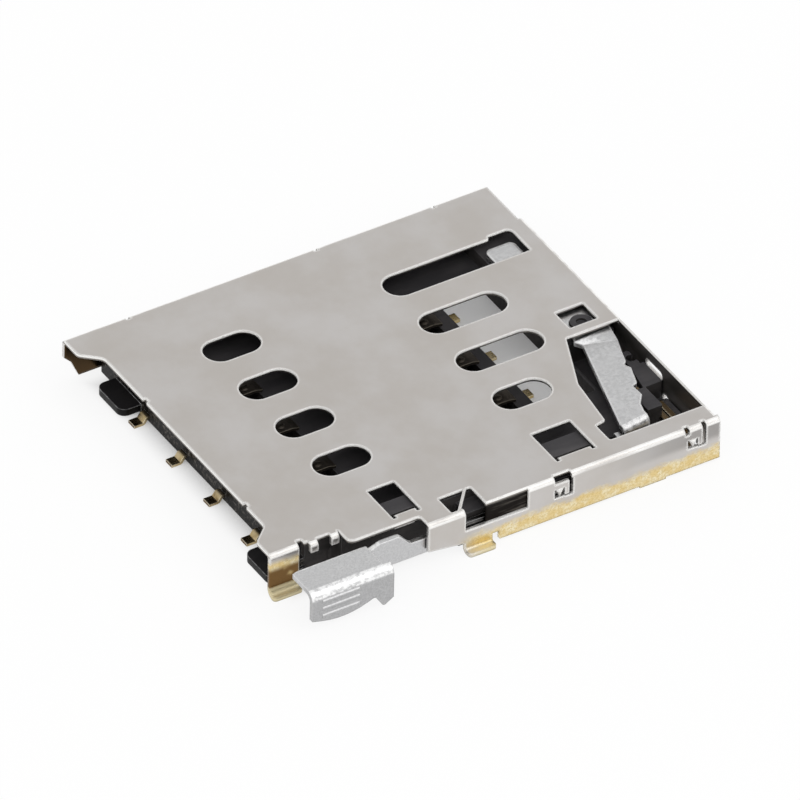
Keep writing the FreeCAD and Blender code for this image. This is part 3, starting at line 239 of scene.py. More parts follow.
# Carrier: the grain's detail, the flow streaks' paler tone as a factor and an amount, how strongly
# light is painted on the faces that look up, tones of the level and upright faces at the entry,
# the share of the painted highlight speckles at the entry wall's foot, the painted edge
# highlights, the bump, the gloss, and the roughness with what the grain adds to it and the entry
# takes off it.
GRAIN_TEXTURE = (3.0, 0.6)
FLOW_PALER = (2.4, 0.004)
TOP_LIGHT_STRENGTH = 0.35
ENTRY_TONES = (0.30, 0.12)
GLINTS_AT_FOOT = 0.4
CARRIER_EDGE_HIGHLIGHT = (0.055 * MM, 0.75)
CARRIER_BUMP = (0.006 * MM, 0.45)
CARRIER_GLOSS = 0.11
CARRIER_ROUGHNESS = 0.42
GRAIN_ROUGHNESS = 0.22
ENTRY_POLISH = 0.16

# Floor: how it turns white from the carrier's outline outwards.
FLOOR_CLEARING = (-1.6 * MM, -0.1 * MM, 0.12, 0.86)

# Softboxes: name, place in metres, side in metres and power in watts.
SOFTBOXES = (
    ("key_softbox", (-0.25, -0.30, 0.55), 0.35, 0.40),
    ("bend_softbox", (0.25, -0.375, 0.396), 0.36, 0.45),
)

# Surroundings: colours at the horizon and overhead, and how high the second begins.
HORIZON = (1.0, 1.0, 0.99, 1)
OVERHEAD = (0.80, 0.80, 0.80, 1)
OVERHEAD_START = 0.85

# Samples of the nodes that find edges and crevices.
NODE_SAMPLES = 6

# Camera: the frame's side in pixels, the point looked at, the film's width in millimetres and
# the clip range. The floor lies a gap below the connector's feet.
PICTURE = 800
AIM_RIGHT = 0.357 * MM
AIM_UP = 0.693 * MM
FILM_WIDTH = 36.0
CLIP_RANGE = (0.01, 20.0)
FLOOR_GAP = 0.002 * MM


class ConnectorMetals(bpy.types.PropertyGroup):
    """Colours and roughness of the sheet-metal pieces."""

    nickel: FloatVectorProperty(
        name="Nickel", description="Plated top and walls of the shell",
        subtype="COLOR", size=3, min=0, max=1, default=(0.610, 0.589, 0.575))
    nickel_roughness: FloatProperty(
        name="Nickel roughness", description="Roughness of the shell's satin plating",
        min=0, max=1, default=0.36)
    # The polished rim colour is a highlight painted along the shell's edges.
    rim_highlight: FloatVectorProperty(
        name="Polished rim", description="Edges rolled bright by the stamping tool",
        subtype="COLOR", size=3, min=0, max=1, default=(0.95, 0.94, 0.92))
    rim_highlight_width: FloatProperty(
        name="Rim width", description="Width of the bright stamped rim",
        unit="LENGTH", subtype="DISTANCE", min=0, default=0.14 * MM)
    gold: FloatVectorProperty(
        name="Gold", description="Gold plating of contacts, feet and lower walls",
        subtype="COLOR", size=3, min=0, max=1, default=(0.78, 0.61, 0.30))
    gold_height: FloatProperty(
        name="Gold height", description="How far the gold reaches up the shell's front wall",
        unit="LENGTH", subtype="DISTANCE", min=0, default=0.66 * MM)
    stainless: FloatVectorProperty(
        name="Stainless", description="Push rod and lever sheet",
        subtype="COLOR", size=3, min=0, max=1, default=(0.60, 0.60, 0.605))


class ConnectorPlastic(bpy.types.PropertyGroup):
    """Colour and texture of the moulded carrier."""

    black: FloatVectorProperty(
        name="Black", description="Moulded carrier colour",
        subtype="COLOR", size=3, min=0, max=1, default=(0.030, 0.0275, 0.0270))
    grain: FloatProperty(
        name="Grain", description="Size of the moulded surface's spark grain",
        unit="LENGTH", subtype="DISTANCE", min=0, default=0.06 * MM)


class ConnectorStage(bpy.types.PropertyGroup):
    """Floor, light and camera."""

    floor: FloatVectorProperty(
        name="Floor", description="Colour of the pale floor",
        subtype="COLOR", size=3, min=0, max=1, default=(0.98, 0.98, 0.98))
    floor_size: FloatProperty(
        name="Floor size", description="Side of the square floor",
        unit="LENGTH", subtype="DISTANCE", min=0, default=3.0)
    azimuth: FloatProperty(
        name="Azimuth", description="Turn of the camera about the upright axis",
        subtype="ANGLE", default=math.radians(-32.312))
    elevation: FloatProperty(
        name="Elevation", description="Height angle of the camera",
        subtype="ANGLE", default=math.radians(38.60))
    roll: FloatProperty(
        name="Roll", description="Turn of the camera about its own axis",
        subtype="ANGLE", default=math.radians(-1.331))
    distance: FloatProperty(
        name="Distance", description="Camera to the object",
        unit="LENGTH", subtype="DISTANCE", min=0, default=0.95)
    pixels_per_metre: FloatProperty(
        name="Scale", description="Image pixels to a metre at the object, in an 800 pixel frame",
        min=1, default=27690.0)


class Tree:
    """Short way to add and link nodes in one material."""

    def __init__(self, name):
        self.material = bpy.data.materials.new(name)
        self.material.use_nodes = True
        self.tree = self.material.node_tree
        self.tree.nodes.clear()
        self.output = self.add("ShaderNodeOutputMaterial")

    def add(self, kind, **inputs):
        """New node, with inputs given by socket name, as values or as sockets to link."""
        node = self.tree.nodes.new(kind)
        for name, value in inputs.items():
            self.set(node.inputs[name.replace("_", " ")], value)
        return node

    def set(self, socket, value):
        """Links a socket, or writes a plain value into it."""
        if isinstance(value, bpy.types.NodeSocket):
            self.tree.links.new(value, socket)
        elif hasattr(value, "__len__") and len(value) == 3 and len(socket.default_value) == 4:
            socket.default_value = (*value, 1)
        else:
            socket.default_value = value

    def axes(self, vector):
        """The three parts of a vector."""
        return self.add("ShaderNodeSeparateXYZ", Vector=vector).outputs

    def place(self):
        """Position on the object, in metres."""
        return self.add("ShaderNodeTexCoord").outputs["Object"]

    def facing(self):
        """The three parts of the surface's own direction."""
        return self.axes(self.add("ShaderNodeNewGeometry").outputs["True Normal"])

    def noise(self, size, detail=3.0, roughness=0.55, stretch=(1, 1, 1)):
        """Noise whose blobs are about size across, from 0 to 1."""
        mapping = self.add("ShaderNodeMapping", Vector=self.place())
        mapping.inputs["Scale"].default_value = [s / size for s in stretch]
        node = self.add("ShaderNodeTexNoise", Vector=mapping.outputs[0], Scale=1.0, Detail=detail)
        node.inputs["Roughness"].default_value = roughness
        return node.outputs[0]

    def math(self, operation, *values):
        """One Math node."""
        node = self.tree.nodes.new("ShaderNodeMath")
        node.operation = operation
        for socket, value in zip(node.inputs, values):
            self.set(socket, value)
        return node.outputs[0]

    def both(self, first, *others):
        """Mask that is 1 only where each of the masks is."""
        for other in others:
            first = self.math("MULTIPLY", first, other)
        return first

    def either(self, first, *others):
        """Mask that is as strong as the strongest of the masks."""
        for other in others:
            first = self.math("MAXIMUM", first, other)
        return first

    def part(self, mask, share):
        """Mask held down to a share of itself."""
        return self.math("MULTIPLY", mask, share)

    def but(self, mask):
        """Mask of what lies outside the given one."""
        return self.math("SUBTRACT", 1.0, mask)

    def raised(self, value, mask, amount):
        """Value with an amount added where the mask is 1."""
        return self.math("ADD", value, self.part(mask, amount))

    def lowered(self, value, mask, amount):
        """Value with an amount taken off where the mask is 1."""
        return self.math("SUBTRACT", value, self.part(mask, amount))

    def ramp(self, value, low, high, out_low=0.0, out_high=1.0):
        """Smooth step of value from low to high."""
        node = self.tree.nodes.new("ShaderNodeMapRange")
        node.interpolation_type = "SMOOTHSTEP"
        for socket, entry in zip(node.inputs, (value, low, high, out_low, out_high)):
            self.set(socket, entry)
        return node.outputs[0]

    def pattern(self, pattern):
        """Noise turned into a mask: a texture and the steps of its ramp."""
        texture, steps = pattern
        return self.ramp(self.noise(*texture), *steps)

    def step(self, place, ends, out_low=0.0, out_high=1.0):
        """Smooth step of one part of the position between two ends in millimetres."""
        return self.ramp(place, ends[0] * MM, ends[1] * MM, out_low, out_high)

    def mix(self, factor, first, second):
        """Blend of two colours."""
        node = self.tree.nodes.new("ShaderNodeMix")
        node.data_type = "RGBA"
        for name, value in (("Factor", factor), ("A", first), ("B", second)):
            sockets = [s for s in node.inputs if s.name == name and s.enabled]
            self.set(sockets[-1], value)
        return [s for s in node.outputs if s.enabled][0]

    def edges(self, radius, strength):
        """Mask that is 1 along the edges and fades over radius, and the softened normal."""
        bevel = self.tree.nodes.new("ShaderNodeBevel")
        bevel.samples = NODE_SAMPLES
        bevel.inputs["Radius"].default_value = radius
        geometry = self.add("ShaderNodeNewGeometry")
        dot = self.tree.nodes.new("ShaderNodeVectorMath")
        dot.operation = "DOT_PRODUCT"
        self.set(dot.inputs[0], bevel.outputs[0])
        self.set(dot.inputs[1], geometry.outputs["True Normal"])
        mask = self.ramp(dot.outputs["Value"], *EDGE_TURN, 0.0, strength)
        return mask, bevel.outputs[0]

    def bends(self):
        """Mask of what leans outward between level and upright, as a folded bend does."""
        lean = self.facing()[2]
        return self.both(self.ramp(lean, *BEND_FROM_UPRIGHT), self.ramp(lean, *BEND_FROM_LEVEL))

    def crevice_shade(self, reach, darkest):
        """Painted shade: a factor that is 1 in the open and falls to darkest in corners narrower
        than reach.
        """
        node = self.tree.nodes.new("ShaderNodeAmbientOcclusion")
        node.samples = NODE_SAMPLES
        node.inputs["Distance"].default_value = reach
        return self.ramp(node.outputs["AO"], *CREVICE_SHADE_STEPS, darkest, 1.0)

    def dim(self, colour, factor):
        """Colour multiplied by a factor."""
        node = self.tree.nodes.new("ShaderNodeVectorMath")
        node.operation = "SCALE"
        self.set(node.inputs[0], colour)
        self.set(node.inputs["Scale"], factor)
        return node.outputs[0]

    def bump(self, height, distance, strength, normal):
        """Bump of height over distance metres, on top of another normal."""
        node = self.add("ShaderNodeBump", Height=height, Normal=normal)
        node.inputs["Distance"].default_value = distance
        node.inputs["Strength"].default_value = strength
        return node.outputs[0]

    def surface(self, **inputs):
        """Principled surface as the material's output."""
        shader = self.tree.nodes.new("ShaderNodeBsdfPrincipled")
        for name, value in inputs.items():
            self.set(shader.inputs[name.replace("_", " ")], value)
        self.set(self.output.inputs["Surface"], shader.outputs[0])
        return self.material


def shell_gold_mask(tree, metals, at_leg, inside):
    """Where the shell is gold: low on its front wall, on the leg and inside the back wall."""
    x, y, z = tree.axes(tree.place())
    ragged = tree.part(tree.noise(*GOLD_BAND_EDGE), GOLD_RAGGEDNESS)
    band = tree.math("ADD", ragged, metals.gold_height - GOLD_RAGGEDNESS / 2)
    low = tree.step(tree.math("SUBTRACT", z, band), GOLD_BAND_FADE)
    front = tree.both(low, tree.step(x, BEYOND_ROD_X), tree.step(y, FRONT_WALL_Y))
    leg = tree.both(at_leg, tree.step(z, LEG_GOLD_Z))
    back = tree.both(inside, tree.step(z, BACK_GOLD_Z))
    return tree.either(front, leg, back)


def shell_gold(tree, metals, at_leg, inside, foot):
    """Shell's gold: thin in patches, flecked, with brown reflection painted on the leg and shade
    painted inside the back wall, and pale on the feet, partly as a painted highlight.
    """
    z = tree.axes(tree.place())[2]
    gold = tree.mix(tree.pattern(GOLD_THIN_PATCHES), metals.gold, PALE_GOLD)
    gold = tree.mix(tree.pattern(GOLD_FLECKS), gold, FLECK_GOLD)
    # Brown reflection painted in blotches on the leg, and shade painted inside the back wall.
    height = tree.both(tree.step(z, LEG_REFLECTION_TOP_Z), tree.step(z, LEG_REFLECTION_FOOT_Z))
    painted_reflection_and_shade = tree.either(tree.both(height, tree.pattern(LEG_REFLECTION_BLOTCHES), at_leg), inside)
    gold = tree.mix(painted_reflection_and_shade, gold, tree.mix(inside, LEG_BROWN_REFLECTION, BACK_WALL_SHADE))
    # Pale feet: partly a paler plating, partly a highlight painted on the leg's foot.
    return tree.mix(tree.part(foot, FOOT_PALENESS_AND_HIGHLIGHT), gold, FOOT_GOLD_AND_HIGHLIGHT)


def shell_slot_shade_mask(tree):
    """The thin skin at the back of the slot over the push rod, where dark shade is painted."""
    x, y, z = tree.axes(tree.place())
    return tree.both(
        tree.step(x, SLOT_LEFT_X), tree.step(x, SLOT_RIGHT_X),
        tree.step(y, SLOT_FRONT_Y), tree.step(y, SLOT_BACK_Y),
        tree.step(z, SLOT_LOW_Z), tree.step(z, SLOT_HIGH_Z))


def shell_bend_highlight(tree):
    """Highlight painted in streaks along the shell's folded bends, with a duller line painted in
    their middle.
    """
    off_middle = tree.math("ABSOLUTE", tree.math("SUBTRACT", tree.facing()[2], BEND_MIDDLE))
    return tree.both(
        tree.bends(), tree.pattern(SHELL_BEND_HIGHLIGHT_STREAKS), tree.ramp(off_middle, *BEND_HIGHLIGHT_SPLIT))


def shell_material(metals):
    """Satin nickel with bright rims and bends painted as highlights, painted shade in its corners,
    on the slot's skin, on the lower band of the cut faces and at the front wall's right end, and
    gold plating on the feet and the lower walls.
    """
    tree = Tree("shell_nickel")
    x, y, z = tree.axes(tree.place())
    facing = tree.facing()
    smudge = tree.noise(*SHELL_SMUDGES)

    # Regions of the sheet.
    upright = tree.ramp(tree.math("ABSOLUTE", facing[2]), *SHELL_UPRIGHT)
    at_leg = tree.both(tree.step(x, LEG_X), tree.step(y, LEG_Y))
    inside = tree.both(tree.step(y, BACK_WALL_Y), tree.ramp(facing[1], *FACES_FRONT))
    foot = tree.both(tree.step(z, FOOT_Z), tree.either(tree.step(y, FOOT_Y), at_leg))
    # The windows' cut faces: a highlight painted on the upper band and shade on the band below.
    cut_face = tree.both(upright, tree.step(z, CUT_FACE_Z))
    lit_cut_face = tree.both(cut_face, tree.step(z, LIT_CUT_FACE_Z))
    shaded_cut_face = tree.math("SUBTRACT", cut_face, lit_cut_face)
    slot = shell_slot_shade_mask(tree)
    gold_mask = shell_gold_mask(tree, metals, at_leg, inside)

    # Plating, painted shade at the front wall's right end and on the lower band of the cut faces,
    # and the slot's skin painted dark as shade.
    worn = [part * wear for part, wear in zip(metals.nickel, WORN_NICKEL)]
    nickel = tree.mix(tree.ramp(smudge, *SMUDGE_STEPS), worn, metals.nickel)
    gold = shell_gold(tree, metals, at_leg, inside, foot)
    plated = tree.mix(gold_mask, nickel, gold)
    shaded = tree.both(upright, tree.step(z, WALL_SHADE_Z))
    shade = tree.step(x, WALL_SHADE_X, 1.0, WALL_SHADE)
    plated = tree.dim(plated, tree.ramp(shaded, 0.0, 1.0, 1.0, shade))
    plated = tree.mix(tree.part(shaded_cut_face, CUT_FACE_SHADE_STRENGTH), plated, CUT_FACE_SHADE)
    # The slot's skin is painted dark as shade, with faint glints.
    slot_shade_tone = tree.mix(tree.pattern(SLOT_GLEAM), SLOT_SHADE, SLOT_GLINT)
    plated = tree.mix(slot, plated, slot_shade_tone)

    # Bright rims painted as highlights, which don't show on the gold.
    edge, soft = tree.edges(metals.rim_highlight_width, 1.0)
    edge = tree.either(tree.both(edge, tree.but(shaded_cut_face)), lit_cut_face)
    rim_highlight = tree.both(tree.either(edge, shell_bend_highlight(tree)), tree.but(slot))
    rim_highlight_on_nickel = tree.both(rim_highlight, tree.but(gold_mask))
    # Shade painted in the corners.
    colour = tree.dim(plated, tree.crevice_shade(*SHELL_CREVICE_SHADE))
    colour = tree.mix(rim_highlight_on_nickel, colour, metals.rim_highlight)

    # Gloss and relief.
    satin = tree.either(tree.part(rim_highlight_on_nickel, RIM_SATIN), tree.part(foot, FOOT_SATIN))
    rough = tree.raised(metals.nickel_roughness - NICKEL_POLISH, smudge, SMUDGE_ROUGHNESS)
    rough = tree.lowered(rough, gold_mask, GOLD_POLISH)
    rough = tree.raised(rough, foot, FOOT_ROUGHNESS)
    rough = tree.lowered(rough, rim_highlight, RIM_POLISH)
    drawn = tree.part(tree.noise(*SHELL_DRAWN_LINES), DRAWN_LINES_SHARE)
    height = tree.raised(drawn, tree.noise(*SHELL_GRAIN), GRAIN_SHARE)
    fine = tree.bump(height, *SHELL_FINE_BUMP, soft)
    normal = tree.bump(tree.noise(*SHELL_WAVES), *SHELL_WAVE_BUMP, fine)
    return tree.surface(
        Base_Color=colour, Metallic=tree.but(satin), Roughness=rough, Normal=normal)


def sheet_material(name, colour, pit_size, pit_depth, roughness, rim_highlight_width, rim_highlight_strength):
    """Tumbled stainless sheet: cloudy patches, small pits, softened edges with highlights painted
    on them and on the bends, and painted shade on upright faces, in corners and on the rod's strip
    in the cut-out.
    """
    tree = Tree(name)
    x, y, z = tree.axes(tree.place())
    pits = tree.noise(pit_size, *PIT_TEXTURE)
    darker, brighter = ([min(1.0, part * tint) for part in colour] for tint in PIT_TINTS)
    sheet = tree.mix(tree.ramp(pits, *PIT_STEPS), darker, brighter)
    clouds = tree.ramp(tree.noise(CLOUD_SCALE * pit_size), *CLOUD_STEPS)
    sheet = tree.mix(clouds, sheet, colour)

    # Upright faces are painted darker as shade, most of all at the grip's outer side, and corners
    # get painted shade too.
    side_shade = tree.step(y, GRIP_SIDE_Y, *SIDE_SHADES)
    tone = tree.ramp(tree.math("ABSOLUTE", tree.facing()[2]), *SHEET_UPRIGHT, 1.0, side_shade)
    sheet = tree.dim(sheet, tree.both(tone, tree.crevice_shade(*SHEET_CREVICE_SHADE)))

    # The strip's stretch behind the cut-out is painted dark as shade, in streaks.
    in_slot_shade = tree.both(
        tree.step(x, ROD_SLOT_LEFT_X), tree.step(x, ROD_SLOT_RIGHT_X), tree.step(y, ROD_STRIP_Y))
    sheet = tree.mix(tree.both(in_slot_shade, tree.pattern(ROD_SLOT_SHADE_STREAKS)), sheet, ROD_SLOT_SHADE)

    # Highlights painted on the rims and in rags on the bends, weaker in the cut-out and on the
    # grip's ribs.
    on_ribs = tree.both(tree.step(y, GRIP_RIBS_Y), tree.step(z, GRIP_RIBS_Z))
    edge, soft = tree.edges(rim_highlight_width, rim_highlight_strength)
    out_of_slot = tree.lowered(1.0, in_slot_shade, RIM_LOST_IN_SLOT)
    off_ribs = tree.lowered(1.0, on_ribs, RIM_LOST_ON_RIBS)
    ragged = tree.pattern(SHEET_BEND_HIGHLIGHT_RAGS)
    rim_highlight = tree.either(
        tree.both(edge, out_of_slot, off_ribs), tree.both(tree.bends(), tree.but(on_ribs), ragged))
    return tree.surface(
        Base_Color=tree.mix(rim_highlight, sheet, SHEET_RIM_HIGHLIGHT),
        Metallic=tree.lowered(1.0, rim_highlight, SHEET_RIM_SATIN),
        Roughness=tree.raised(roughness, pits, PIT_ROUGHNESS),
        Normal=tree.bump(pits, pit_depth, SHEET_BUMP, soft))


def strip_material(name, metals, tarnish, rim_highlight_width):
    """Gold-plated spring strip: rolling lines, brown sheared ends, tarnished flat faces,
    highlights painted on its rims, and shade painted in the wells.
    """
    tree = Tree(name)
    x = tree.axes(tree.place())[0]
    lines = tree.noise(*STRIP_ROLLING_LINES)
    gold = tree.mix(tree.pattern(STRIP_TINTS), metals.gold, STRIP_PALE)
    gold = tree.mix(tarnish, gold, STRIP_TARNISH)

    # Tails are dull outside the carrier, and their sheared ends are brown.
    dulled = tree.both(tree.step(x, TAIL_X), tree.pattern(TAIL_DULLING))
    gold = tree.mix(dulled, gold, STRIP_DULL)
    sheared = tree.both(tree.ramp(tree.facing()[0], *FACES_ENTRY), tree.step(x, TAIL_END_X))
    colour = tree.mix(sheared, gold, STRIP_SHEARED)

    # Down in the wells the strip is painted dark as shade, and its painted rim highlights are
    # weak.
    in_well = tree.both(tree.step(x, WELL_LEFT_X), tree.step(x, WELL_RIGHT_X))
    colour = tree.mix(tree.part(in_well, WELL_SHADE_STRENGTH), colour, STRIP_WELL_SHADE)
    # Highlight painted on the rims.
    rim_highlight, soft = tree.edges(rim_highlight_width, STRIP_RIM_HIGHLIGHT_STRENGTH)
    rim_highlight = tree.both(rim_highlight, tree.lowered(1.0, in_well, RIM_LOST_IN_WELL))
    rough = tree.raised(STRIP_ROUGHNESS, lines, LINES_ROUGHNESS)
    return tree.surface(
        Base_Color=tree.mix(rim_highlight, colour, STRIP_RIM_HIGHLIGHT),
        Metallic=1.0,
        Roughness=tree.raised(rough, in_well, WELL_ROUGHNESS),
        Normal=tree.bump(lines, *STRIP_BUMP, soft))


def carrier_material(plastic):
    """Black moulded carrier: spark grain, faint flow streaks, light painted on faces that look up,
    and highlights painted on its edges and the entry wall.
    """
    tree = Tree("carrier_black")
    place = tree.axes(tree.place())
    grain = tree.noise(plastic.grain, *GRAIN_TEXTURE)
    factor, amount = FLOW_PALER
    paler = [min(1.0, part * factor + amount) for part in plastic.black]
    body = tree.mix(tree.pattern(CARRIER_FLOW), plastic.black, paler)

    # Light painted on faces that look up; all faces are darker at the card entry, upright ones
    # most.
    entry = tree.step(place["X"], ENTRY_X)
    upright = tree.ramp(tree.facing()[2], *CARRIER_UPRIGHT)
    body = tree.mix(tree.part(tree.but(upright), TOP_LIGHT_STRENGTH), body, CARRIER_LIT_TOP)
    entry_tone = tree.ramp(upright, 0.0, 1.0, *ENTRY_TONES)
    body = tree.dim(body, tree.ramp(entry, 0.0, 1.0, 1.0, entry_tone))

    # Speckled highlights painted on the entry wall, fainter at its foot.
    wall = tree.both(entry, upright, tree.step(place["X"], ENTRY_WALL_X))
    rise = tree.step(place["Z"], ENTRY_WALL_Z, GLINTS_AT_FOOT, 1.0)
    glint_speckles = tree.both(wall, rise, tree.pattern(CARRIER_GLINT_SPECKLES))
    body = tree.mix(glint_speckles, body, CARRIER_GLINT)

    # Edges painted paler as highlights, with white glints painted at the entry.
    rim_highlight, soft = tree.edges(*CARRIER_EDGE_HIGHLIGHT)
    edge_highlight = tree.mix(tree.both(entry, tree.pattern(CARRIER_EDGE_GLINTS)), CARRIER_RIM_HIGHLIGHT, CARRIER_GLINT_WHITE)
    rough = tree.raised(CARRIER_ROUGHNESS, grain, GRAIN_ROUGHNESS)
    return tree.surface(
        Base_Color=tree.mix(rim_highlight, body, edge_highlight),
        Roughness=tree.lowered(rough, entry, ENTRY_POLISH),
        Normal=tree.bump(grain, *CARRIER_BUMP, soft),
        Specular_IOR_Level=CARRIER_GLOSS)


def frame_slot(node):
    """Name of the record's material slot for a node."""
    for piece in frame["record"]["subparts"]:
        if piece["node"] == node:
            return piece["material_slot"]
    raise ValueError("no slot for " + node)


def dress(node, material):
    """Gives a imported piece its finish."""
    piece = frame["nodes"][node]
    piece.data.materials.clear()
    piece.data.materials.append(material)


class ConnectorOperator(bpy.types.Operator):
    """Base of the connector's build steps."""

    bl_options = {"REGISTER", "UNDO"}


class CONNECTOR_OT_shell(ConnectorOperator):
    """Dress the folded sheet shell"""

    bl_idname = "connector.shell"
    bl_label = "Shell"

    def execute(self, context):
        dress("shell", shell_material(context.scene.connector_metals))
        return {"FINISHED"}


class CONNECTOR_OT_carrier(ConnectorOperator):
    """Dress the moulded contact carrier"""

    bl_idname = "connector.carrier"
    bl_label = "Contact carrier"

    def execute(self, context):
        dress("contact_carrier", carrier_material(context.scene.connector_plastic))
        return {"FINISHED"}


class CONNECTOR_OT_contacts(ConnectorOperator):
    """Dress the gold spring contacts, the first row's tail and the detect switch"""

    bl_idname = "connector.contacts"
    bl_label = "Contacts and switch"

    def execute(self, context):
        metals = context.scene.connector_metals
        contact_gold = strip_material("contact_gold", metals, *CONTACT_STRIP)
        switch_gold = strip_material("switch_gold", metals, *SWITCH_STRIP)
        for node in frame["nodes"]:
            if node.startswith("detect"):
                dress(node, switch_gold)
            elif frame_slot(node) == "contact_gold":
                dress(node, contact_gold)
        return {"FINISHED"}


class CONNECTOR_OT_push_rod(ConnectorOperator):
    """Dress the push rod and its ribbed grip"""

    bl_idname = "connector.push_rod"
    bl_label = "Push rod"

    def execute(self, context):
        colour = context.scene.connector_metals.stainless
        dress("push_rod", sheet_material("rod_stainless", colour, *ROD_SHEET))
        return {"FINISHED"}


class CONNECTOR_OT_eject_lever(ConnectorOperator):
    """Dress the tumbled sheet lever"""

    bl_idname = "connector.eject_lever"
    bl_label = "Eject lever"

    def execute(self, context):
        colour = context.scene.connector_metals.stainless
        dress("eject_lever", sheet_material("lever_stainless", colour, *LEVER_SHEET))
        return {"FINISHED"}


def floor_material(stage):
    """Pale floor: white where the camera sees it lit, softly shaded under the object."""
    tree = Tree("pale_floor")
    place = tree.axes(tree.place())
    colour = tree.mix(tree.pattern(FLOOR_GRAIN), stage.floor, FLOOR_SHADE)
    lit = tree.add("ShaderNodeBsdfDiffuse", Color=colour)
    glow = tree.add("ShaderNodeEmission", Color=WHITE, Strength=1.0)
    path = tree.add("ShaderNodeLightPath").outputs
    seen = tree.either(path["Is Camera Ray"], path["Is Glossy Ray"])
    low, high = (Vector(corner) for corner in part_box("contact_carrier"))
    middle = (low + high) / 2
    half = (high - low) / 2
    beside = [
        tree.math("SUBTRACT", tree.math("ABSOLUTE", tree.math("SUBTRACT", at, centre)), reach)
        for at, centre, reach in zip(place[:2], middle, half)]
    clear = tree.ramp(tree.either(*beside), *FLOOR_CLEARING)
    blend = tree.add("ShaderNodeMixShader", Fac=tree.both(seen, clear))
    tree.set(blend.inputs[1], lit.outputs[0])
    tree.set(blend.inputs[2], glow.outputs[0])
    tree.set(tree.output.inputs["Surface"], blend.outputs[0])
    return tree.material


def make_floor(stage):
    """Large square floor at the height that the connector stands on."""
    mesh = bpy.data.meshes.new("floor")
    half = stage.floor_size / 2
    level = CAD_BOX[0][2] - FLOOR_GAP
    sides = ((-half, -half), (half, -half), (half, half), (-half, half))
    mesh.from_pydata([(*side, level) for side in sides], [], [(0, 1, 2, 3)])
    floor = bpy.data.objects.new("floor", mesh)
    bpy.context.collection.objects.link(floor)
    mesh.materials.append(floor_material(stage))


def make_world():
    """Pale surroundings, brighter at the horizon than overhead, and white to the camera."""
    world = bpy.data.worlds.new("studio")
    bpy.context.scene.world = world
    world.use_nodes = True
    tree = world.node_tree
    tree.nodes.clear()
    direction = tree.nodes.new("ShaderNodeTexCoord")
    split = tree.nodes.new("ShaderNodeSeparateXYZ")
    tree.links.new(direction.outputs["Generated"], split.inputs[0])
    ramp = tree.nodes.new("ShaderNodeValToRGB")
    tree.links.new(split.outputs["Z"], ramp.inputs[0])
    horizon, overhead = ramp.color_ramp.elements
    horizon.position = 0.0
    horizon.color = HORIZON
    overhead.position = OVERHEAD_START
    overhead.color = OVERHEAD
    studio = tree.nodes.new("ShaderNodeBackground")
    tree.links.new(ramp.outputs[0], studio.inputs["Color"])
    white = tree.nodes.new("ShaderNodeBackground")
    white.inputs["Color"].default_value = (*WHITE, 1)
    path = tree.nodes.new("ShaderNodeLightPath")
    blend = tree.nodes.new("ShaderNodeMixShader")
    tree.links.new(path.outputs["Is Camera Ray"], blend.inputs[0])
    tree.links.new(studio.outputs[0], blend.inputs[1])
    tree.links.new(white.outputs[0], blend.inputs[2])
    output = tree.nodes.new("ShaderNodeOutputWorld")
    tree.links.new(blend.outputs[0], output.inputs["Surface"])


def add_softbox(name, place, side, power):
    """Square area lamp that faces the connector."""
    lamp = bpy.data.lights.new(name, "AREA")
    lamp.size = side
    lamp.energy = power
    holder = bpy.data.objects.new(name, lamp)
    holder.location = place
    holder.rotation_euler = Vector(place).to_track_quat("Z", "Y").to_euler()
    bpy.context.collection.objects.link(holder)


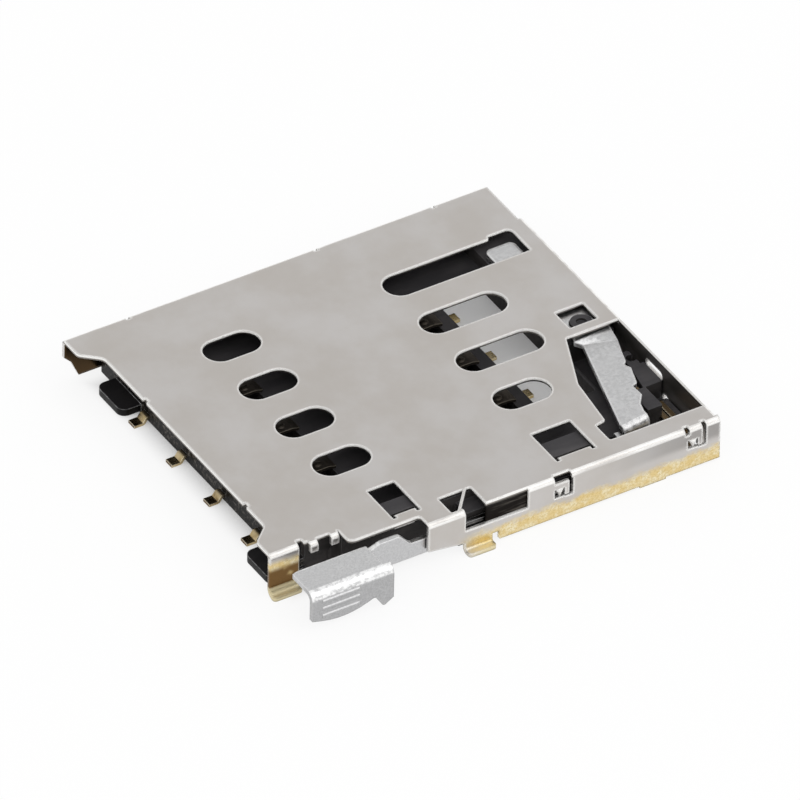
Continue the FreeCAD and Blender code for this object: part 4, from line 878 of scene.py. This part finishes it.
def add_camera(stage):
    """Long-lens camera, turned and placed as the photograph was taken."""
    across, along = math.cos(stage.azimuth), math.sin(stage.azimuth)
    level = math.cos(stage.elevation)
    right = Vector((across, along, 0))
    back = Vector((along * level, -across * level, math.sin(stage.elevation)))
    up = back.cross(right)
    turn = Matrix.Rotation(-stage.roll, 3, back)
    right = turn @ right
    up = turn @ up
    aim = AIM_RIGHT * right + AIM_UP * up
    data = bpy.data.cameras.new("camera")
    data.sensor_width = FILM_WIDTH
    data.lens = stage.pixels_per_metre * stage.distance * data.sensor_width / PICTURE
    data.clip_start, data.clip_end = CLIP_RANGE
    camera = bpy.data.objects.new("camera", data)
    spot = aim + back * stage.distance
    basis = Matrix((right, up, back)).transposed().to_4x4()
    camera.matrix_world = Matrix.Translation(spot) @ basis
    bpy.context.collection.objects.link(camera)
    bpy.context.scene.camera = camera


class CONNECTOR_OT_stage(ConnectorOperator):
    """Build the floor, the light and the camera"""

    bl_idname = "connector.stage"
    bl_label = "Stage"

    def execute(self, context):
        stage = context.scene.connector_stage
        make_floor(stage)
        make_world()
        for softbox in SOFTBOXES:
            add_softbox(*softbox)
        add_camera(stage)
        context.scene.view_settings.view_transform = "Standard"
        return {"FINISHED"}


STEPS = (
    CONNECTOR_OT_shell,
    CONNECTOR_OT_carrier,
    CONNECTOR_OT_contacts,
    CONNECTOR_OT_push_rod,
    CONNECTOR_OT_eject_lever,
    CONNECTOR_OT_stage,
)


class CONNECTOR_PT_panel(bpy.types.Panel):
    """Lists the connector's build steps"""

    bl_idname = "CONNECTOR_PT_panel"
    bl_label = "Connector"
    bl_space_type = "VIEW_3D"
    bl_region_type = "UI"
    bl_category = "Connector"

    def draw(self, context):
        for step in STEPS:
            self.layout.operator(step.bl_idname)


GROUPS = {
    "connector_metals": ConnectorMetals,
    "connector_plastic": ConnectorPlastic,
    "connector_stage": ConnectorStage,
}


def register():
    for name, group in GROUPS.items():
        bpy.utils.register_class(group)
        setattr(bpy.types.Scene, name, PointerProperty(type=group))
    for cls in STEPS + (CONNECTOR_PT_panel,):
        bpy.utils.register_class(cls)


def unregister():
    for cls in reversed(STEPS + (CONNECTOR_PT_panel,)):
        bpy.utils.unregister_class(cls)
    for name, group in GROUPS.items():
        delattr(bpy.types.Scene, name)
        bpy.utils.unregister_class(group)


def main():
    register()
    bpy.ops.connector.shell()
    bpy.ops.connector.carrier()
    bpy.ops.connector.contacts()
    bpy.ops.connector.push_rod()
    bpy.ops.connector.eject_lever()
    bpy.ops.connector.stage()


if __name__ == "__main__":
    main()
